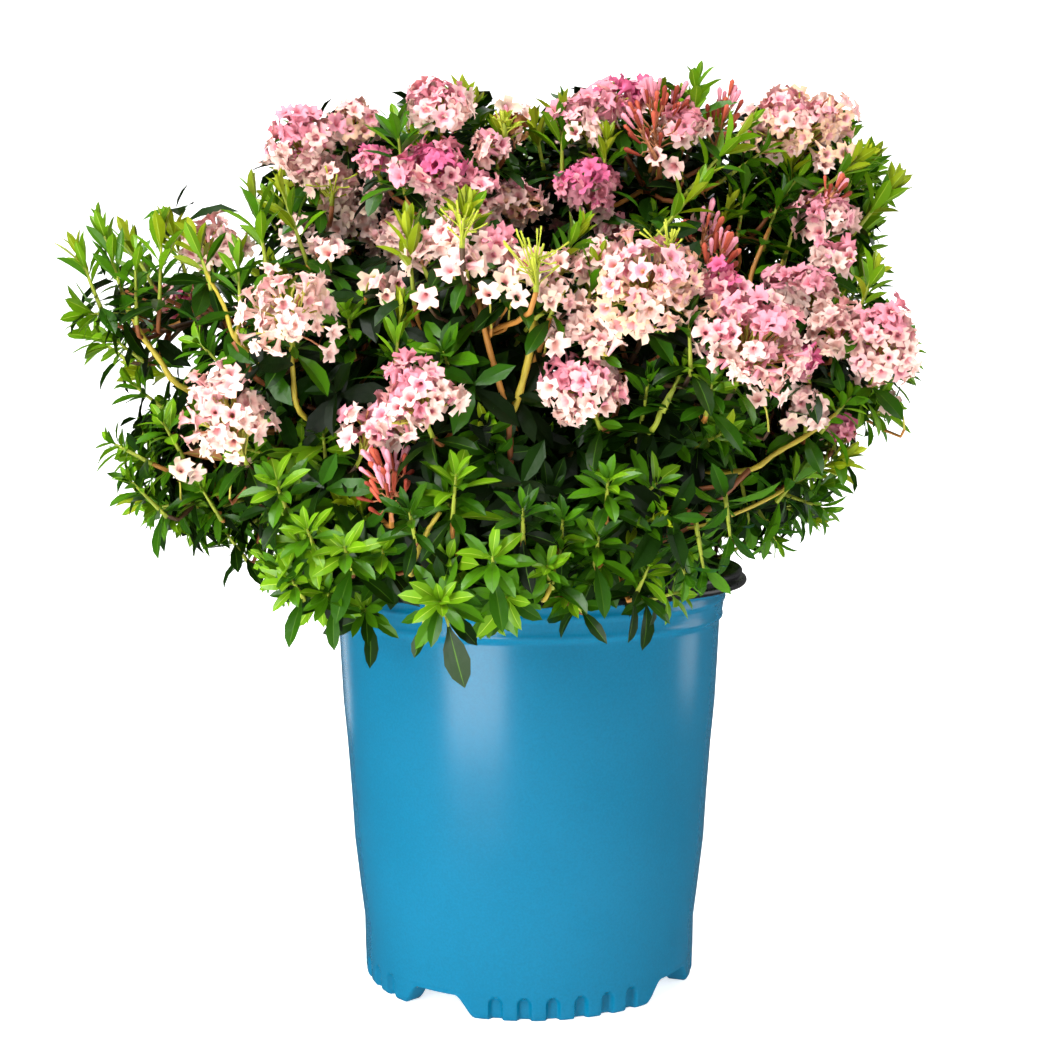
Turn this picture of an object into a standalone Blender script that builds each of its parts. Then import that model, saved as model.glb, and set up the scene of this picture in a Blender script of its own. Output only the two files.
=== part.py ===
"""A potted dwarf rhododendron, in metres, +Z up.

The origin is on the pot's axis at the level of the ground, in the middle of the flat pad under the pot.
+X is to the right and -Y is towards the viewer, as the plant is seen from its front.
"""

import math

import bmesh
import bpy
from mathutils import Vector, noise

# Driving dimensions of the pot
GAP = 0.0003  # between pieces that touch
WALL = 0.0015
FOOT_RADIUS = 0.0881  # outside of the wall just above its feet
SHOULDER_RADIUS = 0.1008  # outside of the wall under its ledge
SHOULDER_HEIGHT = 0.1885
LEDGE = 0.0015  # how far the collar stands out past the wall
COLLAR_TOP = 0.2092
COLLAR_RADIUS = 0.1040
RIM_TOP = 0.2180
RIM_RADIUS = 0.1151
FOOT_HEIGHT = 0.0115  # from the ground to the underside of the drain channel
FOOT_WIDTH = 0.0115
PAD_RADIUS = 0.0400  # flat middle of the base, which stands on the ground
SOIL_TOP = 0.1920

# Feet: four, each with a row of flutes, and a slanted notch between each two
FEET = 4
FOOT_CENTRE_DEG = 12.5  # of the front foot, from straight ahead towards the right
NOTCH_HEIGHT = 0.0108
NOTCH_HALF_DEG = (13.8, 8.0)  # half its width at the ground and at its roof
FLUTES = 6
FLUTE_STEP_DEG = 9.4
FLUTE_RADIUS = 0.0036
FLUTE_DEPTH = 0.0018

# Stem and boughs
STEM_TOP = 0.262
STEM_LEAN = Vector((0.004, -0.003, 0.0))  # of its tip from its foot
STEM_RADII = ((0.0, 0.0175), (0.06, 0.0135), (0.2, 0.0108), (0.6, 0.0094), (1.0, 0.0080))
BOUGH_FOOT_RADIUS = 0.0027
BOUGH_TIP_RADIUS = 0.0018
BOUGH_SIDES = 6
BOUGH_STEPS = 4
BOUGH_RISE = 0.35  # how much of a bough's bend is upwards before it turns out
MASS_INSIDE = 0.62  # where a bough ends, as a share of its mass's inner radius
LUMP = 0.16  # how uneven a mass is
LUMP_SCALE = 1.9

POT_SEGMENTS = 40

# Masses of foliage: centre, half sizes across, front to back and up, and the height at which its bough leaves the stem.
# Low ones hang about the pot's rim, middle ones are the crown's sides, top ones its domes.
MASSES = {
    "low_left": ((-0.164, -0.018, 0.276), (0.051, 0.068, 0.046), 0.2163),
    "low_front_left": ((-0.090, -0.102, 0.246), (0.050, 0.060, 0.042), 0.2185),
    "low_front": ((-0.022, -0.132, 0.242), (0.047, 0.050, 0.041), 0.2207),
    "low_front_right": ((0.048, -0.110, 0.257), (0.046, 0.056, 0.039), 0.2163),
    "low_right": ((0.118, -0.020, 0.267), (0.043, 0.070, 0.038), 0.2185),
    "low_back_right": ((0.086, 0.108, 0.262), (0.070, 0.068, 0.046), 0.2207),
    "low_back_left": ((-0.074, 0.112, 0.262), (0.078, 0.070, 0.048), 0.2163),
    "middle_left": ((-0.186, -0.006, 0.360), (0.053, 0.066, 0.047), 0.2360),
    "middle_front_left": ((-0.108, -0.090, 0.325), (0.056, 0.066, 0.057), 0.2382),
    "middle_front": ((-0.024, -0.116, 0.325), (0.052, 0.060, 0.062), 0.2338),
    "middle_front_right": ((0.062, -0.100, 0.327), (0.060, 0.066, 0.058), 0.2360),
    "middle_right": ((0.146, -0.026, 0.330), (0.050, 0.070, 0.052), 0.2382),
    "middle_back_right": ((0.114, 0.098, 0.342), (0.072, 0.074, 0.058), 0.2338),
    "middle_back_left": ((-0.096, 0.106, 0.345), (0.084, 0.078, 0.060), 0.2360),
    "top_left": ((-0.100, 0.004, 0.413), (0.043, 0.068, 0.047), 0.2552),
    "top_middle": ((-0.040, -0.038, 0.417), (0.044, 0.064, 0.048), 0.2508),
    "top_middle_right": ((0.054, -0.010, 0.418), (0.074, 0.072, 0.052), 0.2530),
    "top_right": ((0.146, 0.016, 0.415), (0.041, 0.068, 0.050), 0.2455),
    "top_back": ((0.006, 0.098, 0.408), (0.090, 0.074, 0.050), 0.2508),
}


def clear_scene():
    for obj in list(bpy.data.objects):
        bpy.data.objects.remove(obj, do_unlink=True)


def material(name, colour, roughness, metallic=0.0):
    made = bpy.data.materials.new(name)
    made.use_nodes = True
    shader = made.node_tree.nodes["Principled BSDF"]
    shader.inputs["Base Color"].default_value = (*colour, 1.0)
    shader.inputs["Roughness"].default_value = roughness
    shader.inputs["Metallic"].default_value = metallic
    return made


def piece(name, bm, surface, smooth_deg=35.0):
    """Makes one object from a finished bmesh."""
    bmesh.ops.recalc_face_normals(bm, faces=bm.faces)
    mesh = bpy.data.meshes.new(name)
    bm.to_mesh(mesh)
    bm.free()
    mesh.materials.append(surface)
    mesh.shade_smooth()
    mesh.set_sharp_from_angle(angle=math.radians(smooth_deg))
    obj = bpy.data.objects.new(name, mesh)
    bpy.context.scene.collection.objects.link(obj)
    return obj


def turned(name, profile, surface):
    """A solid of revolution about Z. A profile that starts on the axis also ends on it; any other is a closed ring."""
    bm = bmesh.new()
    points = [bm.verts.new((radius, 0.0, height)) for radius, height in profile]
    edges = [bm.edges.new(pair) for pair in zip(points, points[1:])]
    if profile[0][0] > 0.0:
        edges.append(bm.edges.new((points[-1], points[0])))
    turn = {"cent": (0, 0, 0), "axis": (0, 0, 1), "angle": math.tau, "steps": POT_SEGMENTS}
    bmesh.ops.spin(bm, geom=points + edges, use_duplicate=False, **turn)
    bmesh.ops.remove_doubles(bm, verts=bm.verts, dist=1e-6)
    return piece(name, bm, surface)


def cut(obj, cutter):
    """Takes the cutter away from the object and hides it."""
    cutter.hide_render = True
    cutter.display_type = "WIRE"
    modifier = obj.modifiers.new(f"cut_{cutter.name}", "BOOLEAN")
    modifier.operation = "DIFFERENCE"
    modifier.object = cutter


def at_bearing(radius, bearing_deg, height):
    """A point at a distance from the axis. Bearing 0 is straight ahead, -Y, and 90 is to the right, +X."""
    turn = math.radians(bearing_deg)
    return Vector((radius * math.sin(turn), -radius * math.cos(turn), height))


def wall_radius(height):
    """Outside radius of the tapered wall."""
    share = height / SHOULDER_HEIGHT
    return FOOT_RADIUS + share * (SHOULDER_RADIUS - FOOT_RADIUS)


# The pot


def make_wall(surface):
    """The tapered wall with its collar and feet, and a floor whose middle stands on the ground."""
    foot_inner = FOOT_RADIUS - FOOT_WIDTH
    floor_top = FOOT_HEIGHT + WALL
    step_out = PAD_RADIUS + 0.004
    inner_slope = SHOULDER_RADIUS - WALL
    profile = [
        (0.0, 0.0),
        (PAD_RADIUS, 0.0),
        (step_out, FOOT_HEIGHT),
        (foot_inner - 0.0010, FOOT_HEIGHT),
        (foot_inner, 0.0),
        (FOOT_RADIUS - 0.0025, 0.0),
        (FOOT_RADIUS - 0.0008, 0.0012),
        (wall_radius(0.0035), 0.0035),
        (SHOULDER_RADIUS, SHOULDER_HEIGHT),
        (SHOULDER_RADIUS + LEDGE, SHOULDER_HEIGHT + 0.0030),
        (COLLAR_RADIUS - 0.0004, COLLAR_TOP - 0.0075),
        (COLLAR_RADIUS, COLLAR_TOP),
        (COLLAR_RADIUS - WALL, COLLAR_TOP),
        (inner_slope + LEDGE, SHOULDER_HEIGHT + 0.0040),
        (inner_slope, SHOULDER_HEIGHT),
        (wall_radius(floor_top) - WALL, floor_top),
        (step_out - 0.0012, floor_top),
        (PAD_RADIUS - 0.0012, WALL),
        (0.0, WALL),
    ]
    wall = turned("pot_wall", profile, surface)
    cut(wall, notch_cutter())
    cut(wall, flute_cutter())
    return wall


def notch_cutter():
    """Four slanted blocks that part the foot ring into feet."""
    bm = bmesh.new()
    low, high = -0.003, NOTCH_HEIGHT
    ground_half, roof_half = NOTCH_HALF_DEG
    below_half = ground_half + (ground_half - roof_half) * -low / high
    for notch in range(FEET):
        middle = FOOT_CENTRE_DEG + 180.0 / FEET + 360.0 / FEET * notch
        corners = [
            bm.verts.new(at_bearing(radius, middle + side * half, height))
            for radius in (FOOT_RADIUS - FOOT_WIDTH - 0.006, FOOT_RADIUS + 0.008)
            for half, height in ((below_half, low), (roof_half, high))
            for side in (-1, 1)
        ]
        bmesh.ops.convex_hull(bm, input=corners)
    return piece("notch_cutter", bm, None)


def flute_cutter():
    """A row of upright grooves with round tops on each foot."""
    bm = bmesh.new()
    centre_radius = FOOT_RADIUS + FLUTE_RADIUS - FLUTE_DEPTH
    dome_foot = FOOT_HEIGHT - FLUTE_RADIUS
    sides = 8
    for foot in range(FEET):
        for flute in range(FLUTES):
            offset = (flute - (FLUTES - 1) / 2) * FLUTE_STEP_DEG
            bearing = FOOT_CENTRE_DEG + 360.0 / FEET * foot + offset
            middle = at_bearing(centre_radius, bearing, 0.0)
            rings = []
            for share, height in ((1.0, -0.003), (1.0, dome_foot), (0.72, dome_foot + 0.7 * FLUTE_RADIUS)):
                for side in range(sides):
                    turn = math.radians(bearing) + math.tau * (side + 0.5) / sides
                    reach = Vector((math.sin(turn), -math.cos(turn), 0)) * FLUTE_RADIUS * share
                    rings.append(bm.verts.new(middle + reach + Vector((0, 0, height))))
            rings.append(bm.verts.new(middle + Vector((0, 0, FOOT_HEIGHT))))
            bmesh.ops.convex_hull(bm, input=rings)
    return piece("flute_cutter", bm, None)


def make_rim(surface):
    """The rolled lip in two tiers, which sits on the collar."""
    seat = COLLAR_TOP + GAP
    waist = seat + 0.0044
    profile = [
        (COLLAR_RADIUS - WALL - 0.0004, seat),
        (RIM_RADIUS - 0.0022, seat),
        (RIM_RADIUS, seat + 0.0018),
        (RIM_RADIUS - 0.0006, waist - 0.0006),
        (RIM_RADIUS - 0.0030, waist),
        (RIM_RADIUS - 0.0022, RIM_TOP - 0.0020),
        (RIM_RADIUS - 0.0044, RIM_TOP),
        (RIM_RADIUS - 0.0080, RIM_TOP - 0.0006),
    ]
    return turned("pot_rim", profile, surface)


def make_soil(surface):
    """Potting mix that fills the pot to a hand's breadth of fingers under the rim, and carries the stem."""
    floor_top = FOOT_HEIGHT + WALL + GAP
    inside = wall_radius(floor_top) - WALL - GAP
    shoulder = SHOULDER_RADIUS - WALL - GAP
    profile = [
        (0.0, WALL + GAP),
        (PAD_RADIUS - 0.0012 - GAP, WALL + GAP),
        (PAD_RADIUS + 0.0024, floor_top),
        (inside - 0.0004, floor_top),
        (shoulder, SHOULDER_HEIGHT - GAP),
        (shoulder - 0.020, SOIL_TOP),
        (0.0, SOIL_TOP),
    ]
    return turned("potting_mix", profile, surface)


# Limbs


def tube(name, centres, radii, sides, surface):
    """A limb of round section along its centre line, cut flat at both ends, square to the line."""
    bm = bmesh.new()
    rings = []
    for index, (centre, radius) in enumerate(zip(centres, radii)):
        before = centres[max(index - 1, 0)]
        after = centres[min(index + 1, len(centres) - 1)]
        along = (after - before).normalized()
        across = along.cross(Vector((0.31, 0.17, 0.93))).normalized()
        third = along.cross(across)
        turns = [math.tau * side / sides for side in range(sides)]
        ring = [centre + radius * (math.cos(t) * across + math.sin(t) * third) for t in turns]
        rings.append([bm.verts.new(point) for point in ring])
    for low, high in zip(rings, rings[1:]):
        for side in range(sides):
            after = (side + 1) % sides
            bm.faces.new((low[side], low[after], high[after], high[side]))
    bm.faces.new(rings[0])
    bm.faces.new(rings[-1])
    return piece(name, bm, surface, smooth_deg=60.0)


def stem_centre(height):
    share = (height - SOIL_TOP) / (STEM_TOP - SOIL_TOP)
    return Vector((0, 0, height)) + STEM_LEAN * share


def stem_radius(height):
    """Radius of the stem, widest at its flare."""
    share = (height - SOIL_TOP) / (STEM_TOP - SOIL_TOP)
    for (low, wide), (high, narrow) in zip(STEM_RADII, STEM_RADII[1:]):
        if share <= high:
            return wide + (narrow - wide) * (share - low) / (high - low)
    return STEM_RADII[-1][1]


def make_stem(surface):
    """The short leaning stem, from its flat cut on the soil to its fork."""
    foot = SOIL_TOP + GAP
    heights = [foot + share * (STEM_TOP - foot) for share, _ in STEM_RADII]
    bm = bmesh.new()
    sides = 14
    rings = []
    for height in heights:
        centre = stem_centre(height)
        turns = [math.tau * side / sides for side in range(sides)]
        reach = stem_radius(height)
        rings.append([bm.verts.new(centre + Vector((math.cos(t), math.sin(t), 0)) * reach) for t in turns])
    for low, high in zip(rings, rings[1:]):
        for side in range(sides):
            after = (side + 1) % sides
            bm.faces.new((low[side], low[after], high[after], high[side]))
    bm.faces.new(rings[0])
    bm.faces.new(rings[-1])
    return piece("stem", bm, surface)


def bough_line(centre, size, foot_height):
    """Centre line of the bough that carries a mass: out of the stem's side, then up and out to just inside the mass."""
    centre = Vector(centre)
    root = stem_centre(foot_height)
    outward = Vector((centre.x - root.x, centre.y - root.y, 0.0)).normalized()
    rise = math.atan2(centre.z - foot_height, (centre - root).xy.length)
    widest = stem_radius(foot_height - BOUGH_FOOT_RADIUS)
    start_reach = widest + BOUGH_FOOT_RADIUS * math.sin(abs(rise)) + GAP
    start = root + outward * start_reach
    bend = start + (centre - start) * 0.5
    bend.z += BOUGH_RISE * 0.1 * (centre - start).xy.length
    toward = (centre - bend).normalized()
    end = centre - toward * MASS_INSIDE * ellipsoid_reach(size, -toward)
    line = []
    for step in range(BOUGH_STEPS + 1):
        t = step / BOUGH_STEPS
        line.append(start * (1 - t) ** 2 + bend * 2 * t * (1 - t) + end * t * t)
    return line


# Masses of foliage


def ellipsoid_reach(size, direction):
    """How far an ellipsoid of these half sizes reaches from its centre in a direction."""
    scaled = Vector(part / half for part, half in zip(direction, size))
    return 1.0 / scaled.length


def nearest_on_segment(point, start, end):
    along = end - start
    share = max(0.0, min(1.0, (point - start).dot(along) / along.length_squared))
    return start + along * share


def nearest_on_pot(point):
    """The nearest point of the pot's outer shape, taken as a plain cylinder as wide as its rim."""
    flat = Vector((point.x, point.y, 0.0))
    if flat.length > RIM_RADIUS:
        flat = flat.normalized() * RIM_RADIUS
    return Vector((flat.x, flat.y, min(point.z, RIM_TOP)))


def keep_off(centre, near, clearance):
    """A plane that keeps a mass on its own side of something convex: its normal, and its distance from the centre."""
    away = near - centre
    return away.normalized(), away.length - clearance


def planes_of(name, lines, stem_line):
    """Every plane that bounds a mass: towards its neighbours, its own bough, the other boughs, the stem and the pot."""
    centre, size, _ = MASSES[name]
    centre = Vector(centre)
    planes = []
    for other, (other_centre, other_size, _) in MASSES.items():
        if other == name:
            continue
        away = Vector(other_centre) - centre
        toward = away.normalized()
        mine = ellipsoid_reach(size, toward)
        theirs = ellipsoid_reach(other_size, -toward)
        planes.append((toward, away.length * mine / (mine + theirs) - GAP / 2))
    own = lines[name]
    back = (own[-2] - own[-1]).normalized()
    planes.append((back, (own[-1] - centre).dot(back) - GAP))
    for other, line in lines.items():
        if other != name:
            for start, end in zip(line, line[1:]):
                near = nearest_on_segment(centre, start, end)
                planes.append(keep_off(centre, near, BOUGH_FOOT_RADIUS + GAP))
    near = nearest_on_segment(centre, *stem_line)
    planes.append(keep_off(centre, near, stem_radius(SOIL_TOP) + GAP))
    planes.append(keep_off(centre, nearest_on_pot(centre), GAP))
    return planes


def make_mass(name, seed, planes, surface):
    """One closed, uneven mass: a lumpy ellipsoid, held back by the planes round it."""
    centre, size, _ = MASSES[name]
    bm = bmesh.new()
    bmesh.ops.create_icosphere(bm, subdivisions=3, radius=1.0)
    for vertex in bm.verts:
        direction = vertex.co.normalized()
        lump = noise.noise(direction * LUMP_SCALE + Vector((seed * 7.3, seed * 3.1, 0.5)))
        reach = ellipsoid_reach(size, direction) * (1.0 + LUMP * lump)
        for normal, distance in planes:
            facing = normal.dot(direction)
            if facing > 1e-6:
                reach = min(reach, distance / facing)
        vertex.co = Vector(centre) + direction * reach
    return piece(f"foliage_{name}", bm, surface, smooth_deg=50.0)


def main():
    clear_scene()
    blue = material("pot_blue", (0.02, 0.30, 0.55), 0.42)
    black = material("rim_black", (0.012, 0.012, 0.013), 0.45)
    earth = material("potting_mix", (0.035, 0.024, 0.018), 0.95)
    bark = material("bark", (0.30, 0.17, 0.09), 0.85)
    young_bark = material("young_bark", (0.42, 0.40, 0.10), 0.6)
    leaf = material("foliage", (0.09, 0.22, 0.03), 0.5)

    make_wall(blue)
    make_rim(black)
    make_soil(earth)
    make_stem(bark)

    lines = {name: bough_line(*MASSES[name]) for name in MASSES}
    thickness = [
        BOUGH_FOOT_RADIUS + (BOUGH_TIP_RADIUS - BOUGH_FOOT_RADIUS) * step / BOUGH_STEPS
        for step in range(BOUGH_STEPS + 1)
    ]
    for name, line in lines.items():
        tube(f"bough_{name}", line, thickness, BOUGH_SIDES, young_bark)

    stem_line = (stem_centre(SOIL_TOP), stem_centre(STEM_TOP))
    for seed, name in enumerate(MASSES):
        make_mass(name, seed, planes_of(name, lines, stem_line), leaf)


main()
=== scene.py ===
import math

import bpy
import numpy as np
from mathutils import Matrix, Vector
from mathutils.bvhtree import BVHTree


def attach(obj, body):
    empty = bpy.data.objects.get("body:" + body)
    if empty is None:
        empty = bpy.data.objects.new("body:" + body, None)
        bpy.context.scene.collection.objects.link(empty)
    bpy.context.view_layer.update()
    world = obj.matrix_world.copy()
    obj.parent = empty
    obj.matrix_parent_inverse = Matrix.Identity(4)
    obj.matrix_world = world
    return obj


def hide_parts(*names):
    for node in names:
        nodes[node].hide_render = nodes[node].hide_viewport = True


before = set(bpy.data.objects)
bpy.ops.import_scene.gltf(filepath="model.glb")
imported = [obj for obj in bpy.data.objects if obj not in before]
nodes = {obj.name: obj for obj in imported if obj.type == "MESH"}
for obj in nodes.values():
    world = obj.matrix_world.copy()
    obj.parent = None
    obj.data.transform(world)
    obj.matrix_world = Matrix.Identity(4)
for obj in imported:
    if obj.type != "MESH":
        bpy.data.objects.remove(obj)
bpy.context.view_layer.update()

foliageNodes = sorted(name for name in nodes if name.startswith("foliage_"))
boughNodes = sorted(name for name in nodes if name.startswith("bough_"))
dice = np.random.default_rng(29)

view = {
    "place": (-0.0006, -0.9258, 0.318),
    "down": 4.991,  # degrees below level
    "lens": 59.66,
    "pixels": 1056,
}


def say(*words):
    print("scene:", *words, flush=True)


def unit(v):
    # v / |v| along the last axis
    v = np.asarray(v, float)
    return v / np.maximum(np.linalg.norm(v, axis=-1, keepdims=True), 1e-9)


def mix(a, b, t):
    # a + (b - a) t
    return a + (b - a) * t


def ramp(x, low, high):
    # smooth step: s = (x - low) / (high - low), then 3 s^2 - 2 s^3
    s = np.clip((x - low) / (high - low), 0, 1)
    return s * s * (3 - 2 * s)


def screen(red, green, blue):
    # screen colour 0 to 255 as linear light: ((c + .055) / 1.055) ^ 2.4
    c = np.array([red, green, blue]) / 255
    return tuple(float(x) for x in np.where(c <= 0.04045, c / 12.92, ((c + 0.055) / 1.055) ** 2.4))


def pixelRay(u, v):
    # direction through a pixel: right (u - c) / f, ahead 1, up (c - v) / f, then pitched down
    focal = view["lens"] / 36 * view["pixels"]
    right = (u - view["pixels"] / 2) / focal
    up = (view["pixels"] / 2 - v) / focal
    c, s = math.cos(math.radians(view["down"])), math.sin(math.radians(view["down"]))
    return unit([right, c + up * s, up * c - s])


def toPixels(points):
    # u = c + f x / depth, v = c - f y / depth, with x, y and depth along the camera's own axes
    focal = view["lens"] / 36 * view["pixels"]
    c, s = math.cos(math.radians(view["down"])), math.sin(math.radians(view["down"]))
    p = np.asarray(points) - np.array(view["place"])
    depth = p[..., 1] * c - p[..., 2] * s
    up = p[..., 1] * s + p[..., 2] * c
    half = view["pixels"] / 2
    return half + focal * p[..., 0] / depth, half - focal * up / depth, depth


class Wire:
    # a socket that can be reckoned with like a number

    def __init__(self, tree, socket):
        self.tree = tree
        self.socket = socket

    def make(self, kind, out=0, values=(), **settings):
        # any node: settings are its properties, values pairs of input name and number or Wire
        node = self.tree.nodes.new(kind)
        for key, value in settings.items():
            setattr(node, key, value)
        for key, value in values:
            if isinstance(value, Wire):
                self.tree.links.new(value.socket, node.inputs[key])
            else:
                node.inputs[key].default_value = value
        return Wire(self.tree, node.outputs[out])

    def maths(self, operation, a, b=0.0):
        return self.make("ShaderNodeMath", values=((0, a), (1, b)), operation=operation)

    def __add__(self, other):
        return self.maths("ADD", self, other)

    def __sub__(self, other):
        return self.maths("SUBTRACT", self, other)

    def __rsub__(self, other):
        return self.maths("SUBTRACT", other, self)

    def __mul__(self, other):
        return self.maths("MULTIPLY", self, other)

    def __truediv__(self, other):
        return self.maths("DIVIDE", self, other)

    __radd__ = __add__
    __rmul__ = __mul__

    def band(self, low, high):
        # 0 below low, 1 above high
        values = (("Value", self), ("From Min", low), ("From Max", high))
        return self.make("ShaderNodeMapRange", values=values, interpolation_type="SMOOTHSTEP")

    def blend(self, first, second):
        # colour: first where this is 0, second where it is 1
        values = (("Factor", self), ("A", first), ("B", second))
        node = self.tree.nodes.new("ShaderNodeMix")
        node.data_type = "RGBA"
        self.tree.links.new(self.socket, node.inputs["Factor"])
        for slotIndex, value in ((6, first), (7, second)):
            if isinstance(value, Wire):
                self.tree.links.new(value.socket, node.inputs[slotIndex])
            else:
                node.inputs[slotIndex].default_value = (*value, 1)
        return Wire(self.tree, node.outputs[2])


def material(name, colour, roughness, **constants):
    # a Principled material, and a Wire on its object coordinates to pattern it with
    made = bpy.data.materials.new(name)
    made.use_nodes = True
    shader = made.node_tree.nodes["Principled BSDF"]
    shader.inputs["Base Color"].default_value = (*colour, 1)
    shader.inputs["Roughness"].default_value = roughness
    for key, value in constants.items():
        shader.inputs[key.replace("_", " ")].default_value = value
    place = made.node_tree.nodes.new("ShaderNodeTexCoord")
    return made, shader, Wire(made.node_tree, place.outputs["Object"])


def noise(place, scale, detail=2.0, rough=0.5, warp=0.0):
    values = (("Vector", place), ("Scale", scale), ("Detail", detail), ("Roughness", rough), ("Distortion", warp))
    return place.make("ShaderNodeTexNoise", values=values)


def bump(shader, height, strength, distance):
    values = (("Strength", strength), ("Distance", distance), ("Height", height))
    made = height.make("ShaderNodeBump", values=values)
    height.tree.links.new(made.socket, shader.inputs["Normal"])


def feed(shader, key, wire):
    wire.tree.links.new(wire.socket, shader.inputs[key])


def addMesh(name, points, faces, numbers=None, materials=(), smooth=True):
    # faces are arrays of corners, one array for each count of corners; numbers are their materials
    mesh = bpy.data.meshes.new(name)
    corners = np.concatenate([f.ravel() for f in faces]).astype(np.int32)
    sizes = np.concatenate([np.full(len(f), f.shape[1]) for f in faces])
    mesh.vertices.add(len(points))
    mesh.vertices.foreach_set("co", np.ascontiguousarray(points, np.float32).ravel())
    mesh.loops.add(len(corners))
    mesh.loops.foreach_set("vertex_index", corners)
    mesh.polygons.add(len(sizes))
    starts = np.concatenate([[0], np.cumsum(sizes)[:-1]]).astype(np.int32)
    mesh.polygons.foreach_set("loop_start", starts)
    for made in materials:
        mesh.materials.append(made)
    if numbers is not None:
        mesh.polygons.foreach_set("material_index", np.concatenate(numbers).astype(np.int32))
    mesh.polygons.foreach_set("use_smooth", np.full(len(sizes), smooth))
    mesh.update(calc_edges=True)
    thing = bpy.data.objects.new(name, mesh)
    bpy.context.scene.collection.objects.link(thing)
    say(name, len(points), "points", int((sizes - 2).sum()), "triangles")
    return thing


def settle(piece, slotName, *replaced):
    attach(piece, "root")
    if replaced:
        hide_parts(*replaced)
    return piece


def sheetFaces(rows, columns, closed=True):
    # quads of a grid of points, row by row; closed joins its last column to its first
    i, j = np.meshgrid(np.arange(rows - 1), np.arange(columns if closed else columns - 1), indexing="ij")
    k = (j + 1) % columns
    quads = np.stack([i * columns + j, i * columns + k, (i + 1) * columns + k, (i + 1) * columns + j], -1)
    return quads.reshape(-1, 4)


# the pot

pot = {
    "feet": 4,
    "firstFoot": 12.5,  # degrees from straight ahead to the right
    "notchHeight": 0.0108,
    "notchHalf": (13.8, 8.0),  # degrees at the ground and at its roof
    "flutes": 6,
    "fluteStep": 9.4,  # degrees
    "fluteHalf": 2.45,  # degrees
    "fluteTop": 0.0120,
    "fluteDepth": 0.0028,
    "blue": screen(0, 102, 136),
    "grain": 0.12,
}
potOutside = [  # radius, height
    (0.0880, 0.0112), (0.0881, 0.0125), (0.0882, 0.0140), (0.0884, 0.0300), (0.0908, 0.0500), (0.0934, 0.0730),
    (0.0948, 0.0970), (0.0968, 0.1250), (0.0988, 0.1470), (0.1000, 0.1700), (0.1007, 0.1850), (0.1008, 0.1890),
    (0.1010, 0.1904), (0.1017, 0.1914), (0.1024, 0.1922), (0.1027, 0.1932), (0.1026, 0.1943), (0.1024, 0.1954),
    (0.1027, 0.1975), (0.1030, 0.1995), (0.1032, 0.2008), (0.1038, 0.2016), (0.1041, 0.2026), (0.1040, 0.2036),
    (0.1037, 0.2046), (0.1038, 0.2064), (0.1042, 0.2072), (0.1044, 0.2082), (0.1042, 0.2092),
]


def turnedPoints(profile, bearing):
    # x = r sin a, y = -r cos a, z = h, with bearing a in degrees from straight ahead towards the right
    profile = np.array(profile)
    if np.isscalar(bearing):
        bearing = np.arange(bearing) * 360 / bearing
    turn = np.radians(bearing)
    r, h = profile[:, 0, None], profile[:, 1, None]
    flat = np.broadcast_to(h, (len(profile), len(turn)))
    return np.stack([r * np.sin(turn), -r * np.cos(turn), flat], -1), bearing


def potBearings():
    # steps across each flute, wider ones between flutes and over each notch
    step = pot["fluteStep"]
    reach = pot["fluteHalf"] * 1.12
    last = (pot["flutes"] - 1) / 2 * step + reach
    foot = [k * step + np.linspace(-reach, reach, 17) for k in np.arange(pot["flutes"]) - (pot["flutes"] - 1) / 2]
    foot += [k * step + np.linspace(reach, step - reach, 6)[1:-1] for k in np.arange(pot["flutes"] - 1) - (pot["flutes"] - 1) / 2]
    foot += [np.linspace(last, 360 / pot["feet"] - last, 44)[1:-1]]
    feet = pot["firstFoot"] + np.arange(pot["feet"])[:, None] * 360 / pot["feet"] + np.concatenate(foot)
    return np.sort(feet.ravel() % 360)


def capped(points):
    # a closed skin from rings whose first and last lie round the axis: a middle point closes each end
    rings, around = points.shape[:2]
    flat = points.reshape(-1, 3)
    ends = np.array([points[0].mean(0), points[-1].mean(0)])
    j = np.arange(around)
    k = (j + 1) % around
    low = np.stack([np.full(around, rings * around), k, j], -1)
    high = np.stack([np.full(around, rings * around + 1), (rings - 1) * around + j, (rings - 1) * around + k], -1)
    return np.concatenate([flat, ends]), [sheetFaces(rings, around), np.concatenate([low, high])]


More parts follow.
